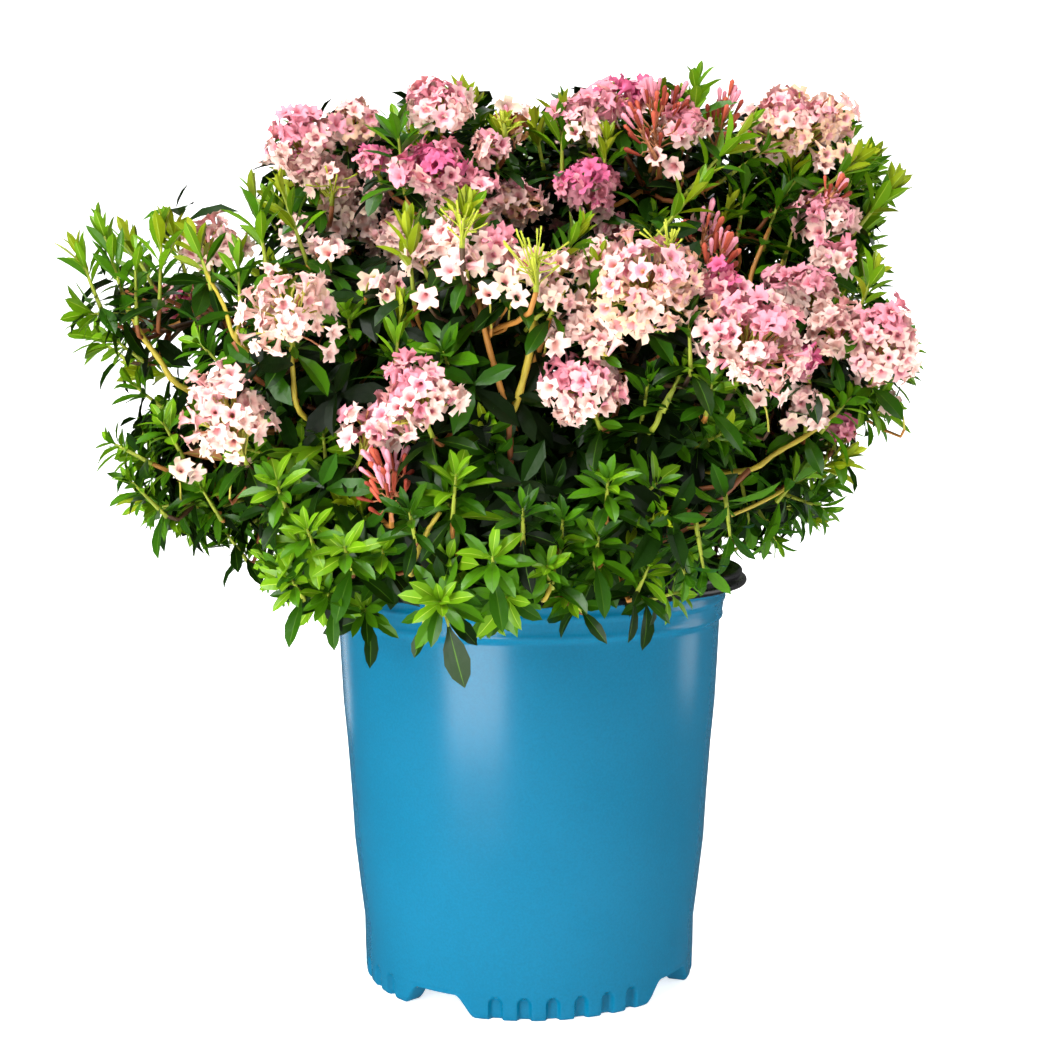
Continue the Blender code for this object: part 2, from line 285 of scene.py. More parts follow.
def makePot():
    lower = [(0.0857, 0.0), (0.0868, 0.0005), (0.0876, 0.0016), (0.0879, 0.0030)]
    lower += [(0.0879 + 0.0001 * k / 8, h) for k, h in enumerate(np.linspace(0.0040, 0.0108, 9))]
    wall = [(0.0015, 0.0), (0.0400, 0.0), (0.0440, 0.0115), (0.0756, 0.0115), (0.0764, 0.0020), (0.0770, 0.0006)]
    wall += [(0.0780, 0.0)] + lower + potOutside
    wall += [(0.1036, 0.2096), (0.1028, 0.2094), (0.1024, 0.2050), (0.1006, 0.1924), (0.0993, 0.1880)]
    wall += [(0.0866, 0.0140), (0.0855, 0.0131), (0.0428, 0.0130), (0.0388, 0.0016), (0.0015, 0.0015)]
    points, bearing = turnedPoints(wall, potBearings())
    z = points[..., 2].copy()
    r = np.hypot(points[..., 0], points[..., 1])
    step = 360 / pot["feet"]
    fromFoot = (bearing - pot["firstFoot"] + step / 2) % step - step / 2
    fromNotch = step / 2 - np.abs(fromFoot)
    ground, roof = pot["notchHalf"]
    lift = pot["notchHeight"] * ramp(-fromNotch, -ground - 0.7, -roof + 0.7)
    # under the roof's line a point rises from z to lift + z (top - lift) / top
    top = 0.0125
    ring = (r > 0.0600) & (z < top) & (np.arange(len(wall)) < 3 + len(lower) + 6)[:, None]
    raised = lift[None] + z * (top - lift[None]) / top
    fluteAt = (fromFoot / pot["fluteStep"] + (pot["flutes"] - 1) / 2) % 1.0  # 0 and 1 at the middle of a flute
    offset = np.minimum(fluteAt, 1 - fluteAt) * pot["fluteStep"]
    onFoot = np.abs(fromFoot) < pot["fluteStep"] * pot["flutes"] / 2
    arch = np.clip((raised - (pot["fluteTop"] - 0.0036)) / 0.0036, 0, None)
    reach = (offset[None] / pot["fluteHalf"]) ** 2 + arch ** 2
    sink = pot["fluteDepth"] * (1 - ramp(reach, 0.30, 1.10)) * onFoot[None]
    outer = (r > 0.0850) & ring
    shrink = np.where(outer, (r - sink) / np.maximum(r, 1e-6), 1.0)
    points[..., 0] *= shrink
    points[..., 1] *= shrink
    points[..., 2] = np.where(ring, raised, z)
    made, shader, place = material("satin blue plastic", pot["blue"], 0.30)
    speck = noise(place, 900, 3, 0.6)
    cloud = noise(place, 14, 3, 0.55)
    shade = (cloud * 0.35 + speck * 0.65).band(0.35, 0.65)
    feed(shader, "Base Color", shade.blend(tuple(0.93 * c for c in pot["blue"]), tuple(1.06 * c for c in pot["blue"])))
    feed(shader, "Roughness", cloud * 0.08 + 0.18)
    bump(shader, speck, pot["grain"], 0.0004)
    skin, faces = capped(points)
    piece = addMesh("pot_shell", skin, faces, None, [made])
    piece.data.set_sharp_from_angle(angle=math.radians(38))
    return settle(piece, "pot_blue", "pot_wall")


rim = {"around": 420, "grey": screen(12, 12, 14)}


def makeRim():
    # the lip: a lower flange, a waist and an upper roll, closed on itself
    def arc(centre, radius, start, end, count, tall=1.0):
        turn = np.radians(np.linspace(start, end, count))
        return [(centre[0] + radius * math.cos(t), centre[1] + tall * radius * math.sin(t)) for t in turn]

    ring = [(0.1023, 0.2098), (0.1080, 0.2096), (0.1128, 0.2096)]
    ring += arc((0.1130, 0.2115), 0.0020, -80, 80, 9)
    ring += [(0.1122, 0.2138), (0.1118, 0.2142)]
    ring += arc((0.1106, 0.2160), 0.0021, -40, 120, 10)
    ring += [(0.1080, 0.2180), (0.1062, 0.2176), (0.1042, 0.2160), (0.1030, 0.2130)]
    points, _ = turnedPoints(ring, rim["around"])
    made, shader, place = material("satin black plastic", rim["grey"], 0.34)
    grain = noise(place, 500, 3, 0.6)
    feed(shader, "Roughness", grain * 0.14 + 0.22)
    bump(shader, grain, 0.12, 0.0004)
    closed = np.concatenate([points, points[:1]])
    faces = sheetFaces(len(closed), rim["around"])
    faces = np.where(faces >= len(ring) * rim["around"], faces - len(ring) * rim["around"], faces)
    piece = addMesh("pot_lip", points.reshape(-1, 3), [faces], None, [made])
    piece.data.set_sharp_from_angle(angle=math.radians(50))
    return settle(piece, "rim_black", "pot_rim")


mix_ = {"chips": 900, "crumb": 0.0018, "brown": screen(58, 42, 30)}


def lumps(points, seeds, sizes):
    # sum of cosines of several directions: sum_k a_k cos(w_k . p + f_k)
    total = np.zeros(points.shape[:-1])
    for seed, (amount, wave) in enumerate(sizes):
        own = np.random.default_rng(seeds + seed)
        for _ in range(5):
            total += amount / 5 * np.cos(points @ (unit(own.normal(size=3)) * 2 * np.pi / wave) + own.uniform(0, 6.28))
    return total


def makeMix():
    # a crumbly disc on the mix's top, with its walls inside the pot, and bark chips strewn over it
    rings = [(0.0020, 0.0030), (0.0380, 0.0030), (0.0420, 0.0136), (0.0850, 0.0140), (0.0990, 0.1850), (0.0994, 0.1890)]
    rings += [(r, 0.1920) for r in np.linspace(0.0985, 0.0020, 46)]
    points, _ = turnedPoints(rings, 220)
    onTop = points[..., 2] > 0.191
    rough = lumps(points, 5, ((0.0016, 0.030), (0.0012, 0.011), (0.0009, 0.005)))
    points[..., 2] += np.where(onTop, rough - 0.0012, 0)
    skin, faces = capped(points)
    corner = np.array([[x, y, z] for x in (-1, 1) for y in (-1, 1) for z in (-1, 1)], float)
    count = mix_["chips"]
    own = np.random.default_rng(3)
    radius = 0.096 * np.sqrt(own.uniform(0.03, 1, count))
    bearing = own.uniform(0, 2 * np.pi, count)
    size = own.uniform(0.4, 1.0, (count, 1, 3)) * np.array([0.0036, 0.0022, 0.0011])
    turn = unit(own.normal(size=(count, 3, 3)))
    turn[:, 1] = unit(np.cross(turn[:, 0], turn[:, 1]))
    turn[:, 2] = np.cross(turn[:, 0], turn[:, 1])
    middle = np.stack([radius * np.cos(bearing), radius * np.sin(bearing), own.uniform(0.1910, 0.1935, count)], -1)
    chips = (corner * size * own.uniform(0.6, 1.0, (count, 8, 3))) @ turn + middle[:, None]
    box = np.array([[0, 1, 3, 2], [4, 6, 7, 5], [0, 4, 5, 1], [2, 3, 7, 6], [0, 2, 6, 4], [1, 5, 7, 3]])
    boxes = (len(skin) + np.arange(count)[:, None, None] * 8 + box).reshape(-1, 4)
    made, shader, place = material("potting mix", mix_["brown"], 0.95)
    fine = noise(place, 420, 4, 0.65)
    coarse = noise(place, 90, 3, 0.6)
    dark = tuple(0.35 * c for c in mix_["brown"])
    feed(shader, "Base Color", (fine * 0.5 + coarse * 0.5).band(0.35, 0.65).blend(dark, mix_["brown"]))
    bump(shader, fine, 0.8, 0.002)
    piece = addMesh("potting_mix_top", np.concatenate([skin, chips.reshape(-1, 3)]), [np.concatenate([faces[0], boxes]), faces[1]], None, [made], False)
    return settle(piece, "potting_mix", "potting_mix")


# the crown's skin: where the solids end, seen from outside

def joinedSkin(names):
    points, triangles, owner, start = [], [], [], 0
    for number, name in enumerate(names):
        mesh = nodes[name].data
        mesh.calc_loop_triangles()
        co = np.empty(len(mesh.vertices) * 3, np.float32)
        mesh.vertices.foreach_get("co", co)
        tri = np.empty(len(mesh.loop_triangles) * 3, np.int32)
        mesh.loop_triangles.foreach_get("vertices", tri)
        points.append(co.reshape(-1, 3).astype(float))
        triangles.append(tri.reshape(-1, 3) + start)
        owner.append(np.full(len(mesh.loop_triangles), number))
        start += len(mesh.vertices)
    return np.concatenate(points), np.concatenate(triangles), np.concatenate(owner)


skinPoints, skinTriangles, skinOwner = joinedSkin(foliageNodes)
skinTree = BVHTree.FromPolygons(skinPoints.tolist(), skinTriangles.tolist())
core = np.array([0.0, 0.0, 0.300])


def nodePoints(name):
    co = np.array([v.co for v in nodes[name].data.vertices])
    return np.unique(np.round(co, 6), axis=0)


def limbLine(name, sides):
    # points sorted along the line from the stem, then averaged ring by ring, with each ring's radius
    co = nodePoints(name)
    far = co[np.argmax(np.linalg.norm(co - np.array([0, 0, 0.235]), axis=1))]
    near = co[np.argmin(np.linalg.norm(co - np.array([0, 0, 0.235]), axis=1))]
    order = np.argsort((co - near) @ unit(far - near))
    rings = co[order].reshape(-1, sides, 3)
    middle = rings.mean(1)
    return middle, np.linalg.norm(rings - middle[:, None], axis=-1).mean(1)


def bend(points, count):
    # a smooth curve through the points, read at even steps: Catmull-Rom, the cubic with slopes (p2 - p0) / 2
    p = np.concatenate([[2 * points[0] - points[1]], points, [2 * points[-1] - points[-2]]])
    t = np.linspace(0, len(points) - 1 - 1e-9, count)
    i = t.astype(int)
    s = (t - i)[:, None]
    a, b, c, d = p[i], p[i + 1], p[i + 2], p[i + 3]
    return 0.5 * (2 * b + (c - a) * s + (2 * a - 5 * b + 4 * c - d) * s**2 + (3 * b - a - 3 * c + d) * s**3)


def bezier(ends, count):
    # ends (n, 4, 3): p0 (1-t)^3 + 3 p1 t (1-t)^2 + 3 p2 t^2 (1-t) + p3 t^3
    t = np.linspace(0, 1, count)[None, :, None]
    p = np.asarray(ends)[:, :, None]
    return p[:, 0] * (1 - t) ** 3 + 3 * p[:, 1] * t * (1 - t) ** 2 + 3 * p[:, 2] * t**2 * (1 - t) + p[:, 3] * t**3


def tubes(lines, radii, sides):
    # round skins on lines (n, m, 3): centre + r (cos a side + sin a third), with a flat cap at both ends
    lines = np.asarray(lines, float)
    radii = np.asarray(radii, float)
    along = unit(np.gradient(lines, axis=1))
    whole = unit(lines[:, -1] - lines[:, 0])
    least = np.eye(3)[np.argmin(np.abs(whole), axis=1)]
    side = unit(np.cross(along, least[:, None]))
    third = np.cross(along, side)
    turn = np.arange(sides) * 2 * np.pi / sides
    ring = side[:, :, None] * np.cos(turn)[:, None] + third[:, :, None] * np.sin(turn)[:, None]
    points = lines[:, :, None] + ring * radii[..., None, None]
    n, m = lines.shape[:2]
    quads = (np.arange(n)[:, None, None] * m * sides + sheetFaces(m, sides)[None]).reshape(-1, 4)
    start = np.arange(n)[:, None] * m * sides
    caps = np.concatenate([start + np.arange(sides)[::-1], start + (m - 1) * sides + np.arange(sides)])
    return points.reshape(-1, 3), quads, caps


class Pile:
    # gathers many small shapes of one kind, to be joined into pieces
    def __init__(self):
        self.points, self.faces, self.numbers, self.owners, self.size = [], {}, {}, {}, 0

    def add(self, points, faces, numbers):
        for corners, number in zip(faces, numbers):
            key = corners.shape[1]
            self.faces.setdefault(key, []).append(corners + self.size)
            self.numbers.setdefault(key, []).append(np.broadcast_to(number, len(corners)))
        self.points.append(points)
        self.size += len(points)

    def build(self, name, materials, smooth=True):
        keys = sorted(self.faces)
        faces = [np.concatenate(self.faces[k]) for k in keys]
        numbers = [np.concatenate(self.numbers[k]) for k in keys]
        return addMesh(name, np.concatenate(self.points), faces, numbers, materials, smooth)


# stem and boughs

bark = {"old": screen(118, 78, 48), "young": screen(150, 120, 52), "ridge": 0.16}


def barkTube(line, radii, sides, steps, seed):
    # a limb with relief: its radius times 1 + ridge (lengthwise ribs, rings of leaf scars and lumps)
    curve = bend(line, steps)
    own = np.random.default_rng(seed)
    wide = np.interp(np.linspace(0, 1, steps), np.linspace(0, 1, len(radii)), radii)
    points, quads, caps = tubes(curve[None], wide[None], sides)
    grid = points.reshape(steps, sides, 3)
    turn = np.arange(sides) * 2 * np.pi / sides
    run = np.concatenate([[0], np.cumsum(np.linalg.norm(np.diff(curve, axis=0), axis=1))])
    ribs = np.cos(5 * turn + own.uniform(0, 6.28))[None] * 0.35 + np.cos(9 * turn[None] + 90 * run[:, None])* 0.25
    scars = np.exp(-(((run / 0.0065) % 1 - 0.5) ** 2) / 0.012)[:, None] * (0.5 + 0.5 * np.cos(2 * turn + run[:, None] * 900))
    relief = 1 + bark["ridge"] * (ribs * 0.6 + scars * 0.7 + lumps(grid, seed, ((1.4, 0.006), (0.8, 0.0025))))
    grid = curve[:, None] + (grid - curve[:, None]) * relief[..., None]
    return grid.reshape(-1, 3), quads, caps


limbs = {}  # each bough's line, its radii and its mass
for boughName in boughNodes:
    limbs["foliage_" + boughName[6:]] = limbLine(boughName, 6)
stemLine, stemRadii = limbLine("stem", 14)
order = np.argsort(stemLine[:, 2])
stemLine, stemRadii = stemLine[order], stemRadii[order]


def makeLimbs():
    pile = Pile()
    extra = unit(stemLine[-1] - stemLine[0])
    line = np.concatenate([[stemLine[0] - [0, 0, 0.003]], stemLine, [stemLine[-1] + extra * 0.004]])
    wide = np.concatenate([[stemRadii[0] * 1.08], stemRadii, [stemRadii[-1] * 0.5]])
    points, quads, caps = barkTube(line, wide, 28, 60, 1)
    pile.add(points, [quads, caps], [0, 0])
    for seed, (name, (line, wide)) in enumerate(sorted(limbs.items())):
        away = unit(line[0] - line[1])
        inner = line[0] + away * 0.010
        full = np.concatenate([[inner], line])
        points, quads, caps = barkTube(full, np.concatenate([[wide[0] * 1.25], wide]), 10, 56, 10 + seed)
        pile.add(points, [quads, caps], [0, 0])
    made, shader, place = material("bark", bark["old"], 0.78)
    streak = noise(place, 160, 4, 0.6, 0.6)
    patch = noise(place, 34, 2, 0.5)
    brown = (streak * 0.6 + patch * 0.4).band(0.38, 0.62)
    feed(shader, "Base Color", brown.blend(tuple(0.45 * c for c in bark["old"]), bark["young"]))
    bump(shader, streak, 0.6, 0.0012)
    piece = pile.build("stem_and_boughs", [made])
    return settle(piece, "bark", "stem", *boughNodes)


# leaves

greens = {  # from the inside of the crown to its youngest shoots: the darkest, given to leaves inside the crown and in the middle of its front, are partly the dark green of old leaves and partly painted shade
    "deep": screen(9, 25, 1),
    "dark": screen(19, 47, 2),
    "middle": screen(38, 79, 5),
    "bright": screen(64, 112, 8),
    "fresh": screen(98, 142, 14),
    "olive": screen(126, 144, 15),
    "lime": screen(164, 176, 38),
    "dry": screen(150, 98, 54),
}
ribs = {"paleRib": screen(158, 184, 60), "darkRib": screen(64, 102, 20)}
leafShape = {
    "stations": (0.0, 0.14, 0.36, 0.60, 0.82, 1.0),
    "outline": (0.07, 0.26, 0.80, 1.0, 0.70, 0.0),
    "rib": 0.05,  # half width of the midrib as a share of the leaf's own
    "gloss": 0.30,
}


def leafMaterial(name, colour, roughness, specular):
    made, shader, place = material(f"leaf {name}", colour, roughness, Specular_IOR_Level=specular)
    bump(shader, noise(place, 260, 2, 0.5), 0.35, 0.0008)
    return made


leafMaterials = []
shine = {"deep": (0.12, 0.14), "dark": (0.06, 0.20)}  # added roughness and specular, so that no grey glint hides a dark green
for name, colour in greens.items():
    rougher, specular = shine.get(name, (0, 0.24))
    leafMaterials.append(leafMaterial(name, colour, leafShape["gloss"] + rougher, specular))
leafMaterials += [leafMaterial(name, colour, 0.5, 0.2) for name, colour in ribs.items()]
greenNumber = {name: number for number, name in enumerate([*greens, *ribs])}


def leafSheets(leaf, full):
    # an arched, folded blade: x = L sin(b s) / b along, z = -L (1 - cos b s) / b, half width w(s),
    # and its edges lifted off the rib by w tan(fold), along the arch's own normal
    s = np.array(leafShape["stations"] if full else (0.0, 0.34, 0.68, 1.0))[None]
    outline = np.array(leafShape["outline"] if full else (0.10, 0.85, 0.90, 0.0))[None]
    across = np.array([-1, -leafShape["rib"], -leafShape["rib"], leafShape["rib"], leafShape["rib"], 1] if full else [-1, 0, 0, 1])
    arch = np.where(np.abs(leaf["arch"]) < 0.04, 0.04, leaf["arch"])[:, None]
    x = leaf["length"][:, None] * np.sin(arch * s) / arch
    z = -leaf["length"][:, None] * (1 - np.cos(arch * s)) / arch
    half = 0.5 * leaf["width"][:, None] * outline
    y = half[..., None] * across
    lift = np.abs(y) * np.tan(leaf["fold"])[:, None, None]
    x = x[..., None] + lift * np.sin(arch * s)[..., None]
    z = z[..., None] + lift * np.cos(arch * s)[..., None]
    side = np.cross(leaf["up"], leaf["along"])
    axes = [leaf[k][:, None, None] for k in ("base", "along", "up")] + [side[:, None, None]]
    points = axes[0] + x[..., None] * axes[1] + z[..., None] * axes[2] + y[..., None] * axes[3]
    rows, columns = s.shape[1], len(across)
    strips = range(0, columns, 2)
    quad = np.array([[r * columns + c, r * columns + c + 1, (r + 1) * columns + c + 1, (r + 1) * columns + c] for r in range(rows - 2) for c in strips])
    tip = np.array([[(rows - 2) * columns + c, (rows - 2) * columns + c + 1, (rows - 1) * columns + c] for c in strips])
    isRib = np.array([full and c == 2 for c in strips])
    n = len(leaf["base"])
    shift = np.arange(n)[:, None, None] * rows * columns
    quadNumbers = np.where(np.tile(isRib, rows - 2)[None], leaf["rib"][:, None], leaf["green"][:, None])
    tipNumbers = np.where(isRib[None], leaf["rib"][:, None], leaf["green"][:, None])
    return points.reshape(-1, 3), [(quad[None] + shift).reshape(-1, 4), (tip[None] + shift).reshape(-1, 3)], [quadNumbers.ravel(), tipNumbers.ravel()]


leafRows = {"young": [], "old": [], "inner": []}


def whorl(base, axis, kind, count, length, spread, run, tone, width=0.36, arch=0.5, fold=0.30, top=4, first=None):
    # leaves round an axis by the golden angle: spread goes from its first number at the foot to its last at the tip,
    # run is the stretch of axis they stand on, tone the spray's own place in the list of greens, top the last it may use,
    # first the side its lowest leaf stands on
    axis = unit(axis)
    least = np.eye(3)[np.argmin(np.abs(axis))]
    a = unit(np.cross(axis, least)) if first is None else unit(first - axis * (axis @ first))
    b = np.cross(axis, a)
    share = (np.arange(count) + 0.5) / count
    turn = (dice.uniform(0, 6.28) if first is None else 0.0) + np.arange(count) * 2.39996 + dice.normal(0, 0.12, count)
    lean = np.radians(mix(spread[0], spread[1], share) + dice.normal(0, 6, count))[:, None]
    radial = np.cos(turn)[:, None] * a + np.sin(turn)[:, None] * b
    along = unit(np.cos(lean) * axis + np.sin(lean) * radial + [0, 0, -0.03])
    up = np.sin(lean) * axis - np.cos(lean) * radial
    up = unit(up - along * (up * along).sum(1, keepdims=True))
    roll = dice.normal(0, 0.24, count)[:, None]
    up = unit(up * np.cos(roll) + np.cross(along, up) * np.sin(roll))
    size = length * mix(1.0, 0.45, share**3.0) * dice.uniform(0.82, 1.12, count)
    shade = tone + dice.normal(0, 0.45) + dice.normal(0, 0.6, count) + (share - 0.4) * 1.2
    green = np.clip(np.rint(shade), 0, top).astype(int)
    if kind == "old":
        green[dice.random(count) < 0.005] = greenNumber["dry"]
    leafRows[kind].append({
        "base": base + axis * (run * share)[:, None],
        "along": along,
        "up": up,
        "length": size,
        "width": size * width * dice.uniform(0.86, 1.12, count),
        "arch": dice.normal(arch, 0.18, count),
        "fold": np.clip(dice.normal(fold, 0.12, count), 0.02, 0.8),
        "green": green,
        "rib": np.where(green > greenNumber["bright"], greenNumber["paleRib"], greenNumber["darkRib"]),
    })


def offPot(points):
    # whether a leaf's points all stay clear of the rim and of the wall
    r, z = np.hypot(points[..., 0], points[..., 1]), points[..., 2]
    inRim = (z < 0.2195) & (z > 0.2085) & (r > 0.1000) & (r < 0.1165)
    inWall = (z < 0.2100) & (r < 0.1060)
    return ~np.any(inRim | inWall, axis=1)


def makeLeaves():
    made = []
    for kind, rows in leafRows.items():
        leaf = {key: np.concatenate([row[key] for row in rows]) for key in rows[0]}
        flatPoints = leafSheets(leaf, kind != "inner")[0].reshape(len(leaf["base"]), -1, 3)
        clear = offPot(flatPoints)
        leaf = {key: value[clear] for key, value in leaf.items()}
        each = 14 if kind == "inner" else 27
        parts = int(np.ceil(len(leaf["base"]) * each / 185000))
        # pieces are slices of the crown from left to right
        place = np.argsort(leaf["base"][:, 0], kind="stable")
        for part, chosen in enumerate(np.array_split(place, parts)):
            piece = {key: value[chosen] for key, value in leaf.items()}
            pile = Pile()
            pile.add(*leafSheets(piece, kind != "inner"))
            thing = pile.build(f"{kind}_leaves_{part + 1}", leafMaterials)
            made.append(settle(thing, "foliage", *foliageNodes))
        say(kind, len(leaf["base"]), "leaves")
    return made


# blossom

petals = {
    "blush": screen(240, 207, 195),
    "pale": screen(238, 195, 184),
    "pink": screen(234, 175, 176),
    "bright": screen(227, 147, 162),
    "magenta": screen(209, 98, 138),
    "cream": screen(241, 212, 187),
    "peach": screen(231, 189, 156),
    "coral": screen(188, 86, 62),
    "red": screen(140, 54, 36),
    "dried": screen(150, 96, 52),
}
deeper = {"blush": "pale", "pale": "pink", "pink": "bright", "cream": "pale", "peach": "pink"}  # a throat's colour
stalks = {
    "pedicel": screen(178, 172, 62),
    "redPedicel": screen(184, 118, 76),
    "barePedicel": screen(170, 178, 42),
    "shootGreen": screen(150, 162, 44),
    "goldStem": screen(178, 158, 46),
    "tanStem": screen(176, 118, 46),
    "redStem": screen(132, 74, 34),
    "woodStem": screen(74, 50, 28),
}
petalMaterials = [material(f"petal {name}", colour, 0.6, Specular_IOR_Level=0.25)[0] for name, colour in petals.items()]
stalkMaterials = [material(f"stalk {name}", colour, 0.6)[0] for name, colour in stalks.items()]
petalNumber = {name: number for number, name in enumerate(petals)}
throatNumber = np.array([petalNumber[deeper.get(name, name)] for name in petals])
stalkNumber = {name: number for number, name in enumerate(stalks)}
flower = {
    "across": 0.0112,
    "tube": 0.0076,
    "lobes": 5,
    "steps": 4,  # points round each lobe
}
flowerRows = []
budRows = []
stemRows = {}  # lines by their count of points: (points, radii, material number)


def flowerShape():
    # rings of a funnel with five lobes; unit is the flower's half width
    lobes, steps = flower["lobes"], flower["steps"]
    turn = np.arange(lobes * steps) * 2 * np.pi / (lobes * steps)
    phase = np.tile(np.arange(steps), lobes)
    level = np.ones(len(turn))
    edge = np.choose(phase, [0.60, 0.97, 1.00, 0.97])
    middle = np.choose(phase, [0.50, 0.60, 0.62, 0.60])
    dip = np.choose(phase, [-0.10, -0.01, -0.16, -0.05])
    reach = flower["tube"] / (flower["across"] / 2)
    rings = [(0.10 * level, -reach * level), (0.20 * level, -0.52 * level), (middle * 0.80, -0.08 * level), (edge, dip)]
    points = np.stack([np.stack([r * np.cos(turn), r * np.sin(turn), z], -1) for r, z in rings])
    faces = sheetFaces(len(rings), len(turn))
    band = np.repeat(np.arange(len(rings) - 1), len(turn))
    return points.reshape(-1, 3), faces, band


def addFlowers(base, centre, facing, scale, petal, tube):
    flowerRows.append({
        "centre": centre,
        "facing": unit(facing),
        "scale": scale,
        "petal": petal,
        "tube": tube,
    })


def addLines(points, radii, number):
    points = np.asarray(points, float)
    n, m = points.shape[:2]
    radii = np.broadcast_to(radii, (n, m))
    number = np.broadcast_to(number, n)
    stemRows.setdefault(m, []).append((points, radii, number))


palettes = {  # petals dealt in this order from the top of a truss to its foot, and the tube's colour
    "blush": (("pale", "pale", "blush", "blush", "cream"), "pink"),
    "pink": (("bright", "pink", "pale", "blush", "blush"), "bright"),
    "bright": (("magenta", "bright", "bright", "pink", "pale"), "magenta"),
    "magenta": (("magenta", "magenta", "bright", "pink"), "magenta"),
    "cream": (("pale", "blush", "cream", "blush"), "pale"),
    "peach": (("pink", "pale", "peach", "peach", "blush"), "peach"),
    "dried": (("dried", "peach", "dried"), "dried"),
}


def truss(centre, axis, wide, tall, palette, fill=1.0):
    # flowers on the upper part of an ellipsoid about centre, by the golden angle, each on a stalk from the foot
    axis = unit(axis)
    least = np.eye(3)[np.argmin(np.abs(axis))]
    a = unit(np.cross(axis, least))
    b = np.cross(axis, a)
    count = max(4, int(fill * 4.8 * (wide * wide + 2 * wide * tall) / 3 / (flower["across"] / 2) ** 2))
    share = (np.arange(count) + 0.5) / count
    high = 1 - share * 1.5
    turn = dice.uniform(0, 6.28) + np.arange(count) * 2.39996
    flat = np.sqrt(np.maximum(1 - high**2, 0))
    out = high[:, None] * axis + flat[:, None] * (np.cos(turn)[:, None] * a + np.sin(turn)[:, None] * b)
    out = unit(out + dice.normal(0, 0.22, (count, 3)))
    scale = flower["across"] / 2 * dice.uniform(0.86, 1.10, count)
    tallness = out @ axis
    level = out - tallness[:, None] * axis
    reach = dice.uniform(0.66, 1.10, count)[:, None] * (1 + lumps(out, int(dice.integers(1000)), ((0.30, 1.3),)))[:, None]
    place = centre + (level * (wide - 0.002) + axis * (tallness * (tall - 0.002))[:, None]) * reach
    facing = unit(out * 1.0 + axis * 0.10 + dice.normal(0, 0.38, (count, 3)))
    names, tube = palettes[palette]
    rank = np.clip((share * len(names) + dice.normal(0, 0.7, count)).astype(int), 0, len(names) - 1)
    petal = np.array([petalNumber[names[r]] for r in rank])
    foot = centre - axis * tall * 0.75
    addFlowers(foot, place, facing, scale, petal, np.full(count, petalNumber[tube]))
    mouth = place - facing * flower["tube"] * (scale / (flower["across"] / 2))[:, None] * 0.97
    start = foot + axis * dice.uniform(0, 0.35, (count, 1)) * tall
    lines = bezier(np.stack([start, start + (axis * 0.3 + out * 0.2) * wide, mouth - facing * 0.004, mouth], 1), 4)
    green = np.where(dice.random(count) < 0.3, stalkNumber["redPedicel"], stalkNumber["pedicel"])
    addLines(lines, np.array([0.00055, 0.0005, 0.0005, 0.0006]), green)
    axisLine = bezier([[foot - axis * 0.004, foot, foot + axis * 0.2 * tall, foot + axis * 0.45 * tall]], 4)
    addLines(axisLine, np.array([0.0013, 0.0012, 0.0010, 0.0007]), stalkNumber["shootGreen"])
    return foot


def budSpray(foot, axis, count, length):
    # club-shaped buds, the pinker ones towards the top, on stalks that leave a short axis one above another
    axis = unit(axis)
    share = (np.arange(count) + 0.5) / count
    least = np.eye(3)[np.argmin(np.abs(axis))]
    a = unit(np.cross(axis, least))
    b = np.cross(axis, a)
    turn = dice.uniform(0, 6.28) + np.arange(count) * 2.39996
    lean = np.radians(mix(62, 8, share) + dice.normal(0, 8, count))[:, None]
    out = unit(np.cos(lean) * axis + np.sin(lean) * (np.cos(turn)[:, None] * a + np.sin(turn)[:, None] * b))
    start = foot + axis * (share * length * 0.50)[:, None]
    size = dice.uniform(0.0062, 0.0100, count)
    tip = start + out * (length * mix(0.62, 0.50, share) * dice.uniform(0.8, 1.1, count))[:, None]
    facing = unit(out + axis * 0.5)
    base = tip - facing * size[:, None]
    tone = share + dice.normal(0, 0.22, count)
    number = np.choose(np.clip((tone * 3).astype(int), 0, 2), [petalNumber["red"], petalNumber["coral"], petalNumber["bright"]])
    budRows.append({"base": base, "along": facing, "size": size, "petal": number})
    lines = bezier(np.stack([start, start + out * 0.3 * length, base - facing * 0.002, base + facing * 0.0006], 1), 4)
    addLines(lines, np.array([0.0005, 0.0004, 0.0004, 0.0006]), np.full(count, stalkNumber["redPedicel"]))
    addLines(bezier([[foot - axis * 0.004, foot, foot + axis * 0.2 * length, foot + axis * 0.52 * length]], 4), np.array([0.0012, 0.0011, 0.0009, 0.0006]), stalkNumber["redPedicel"])


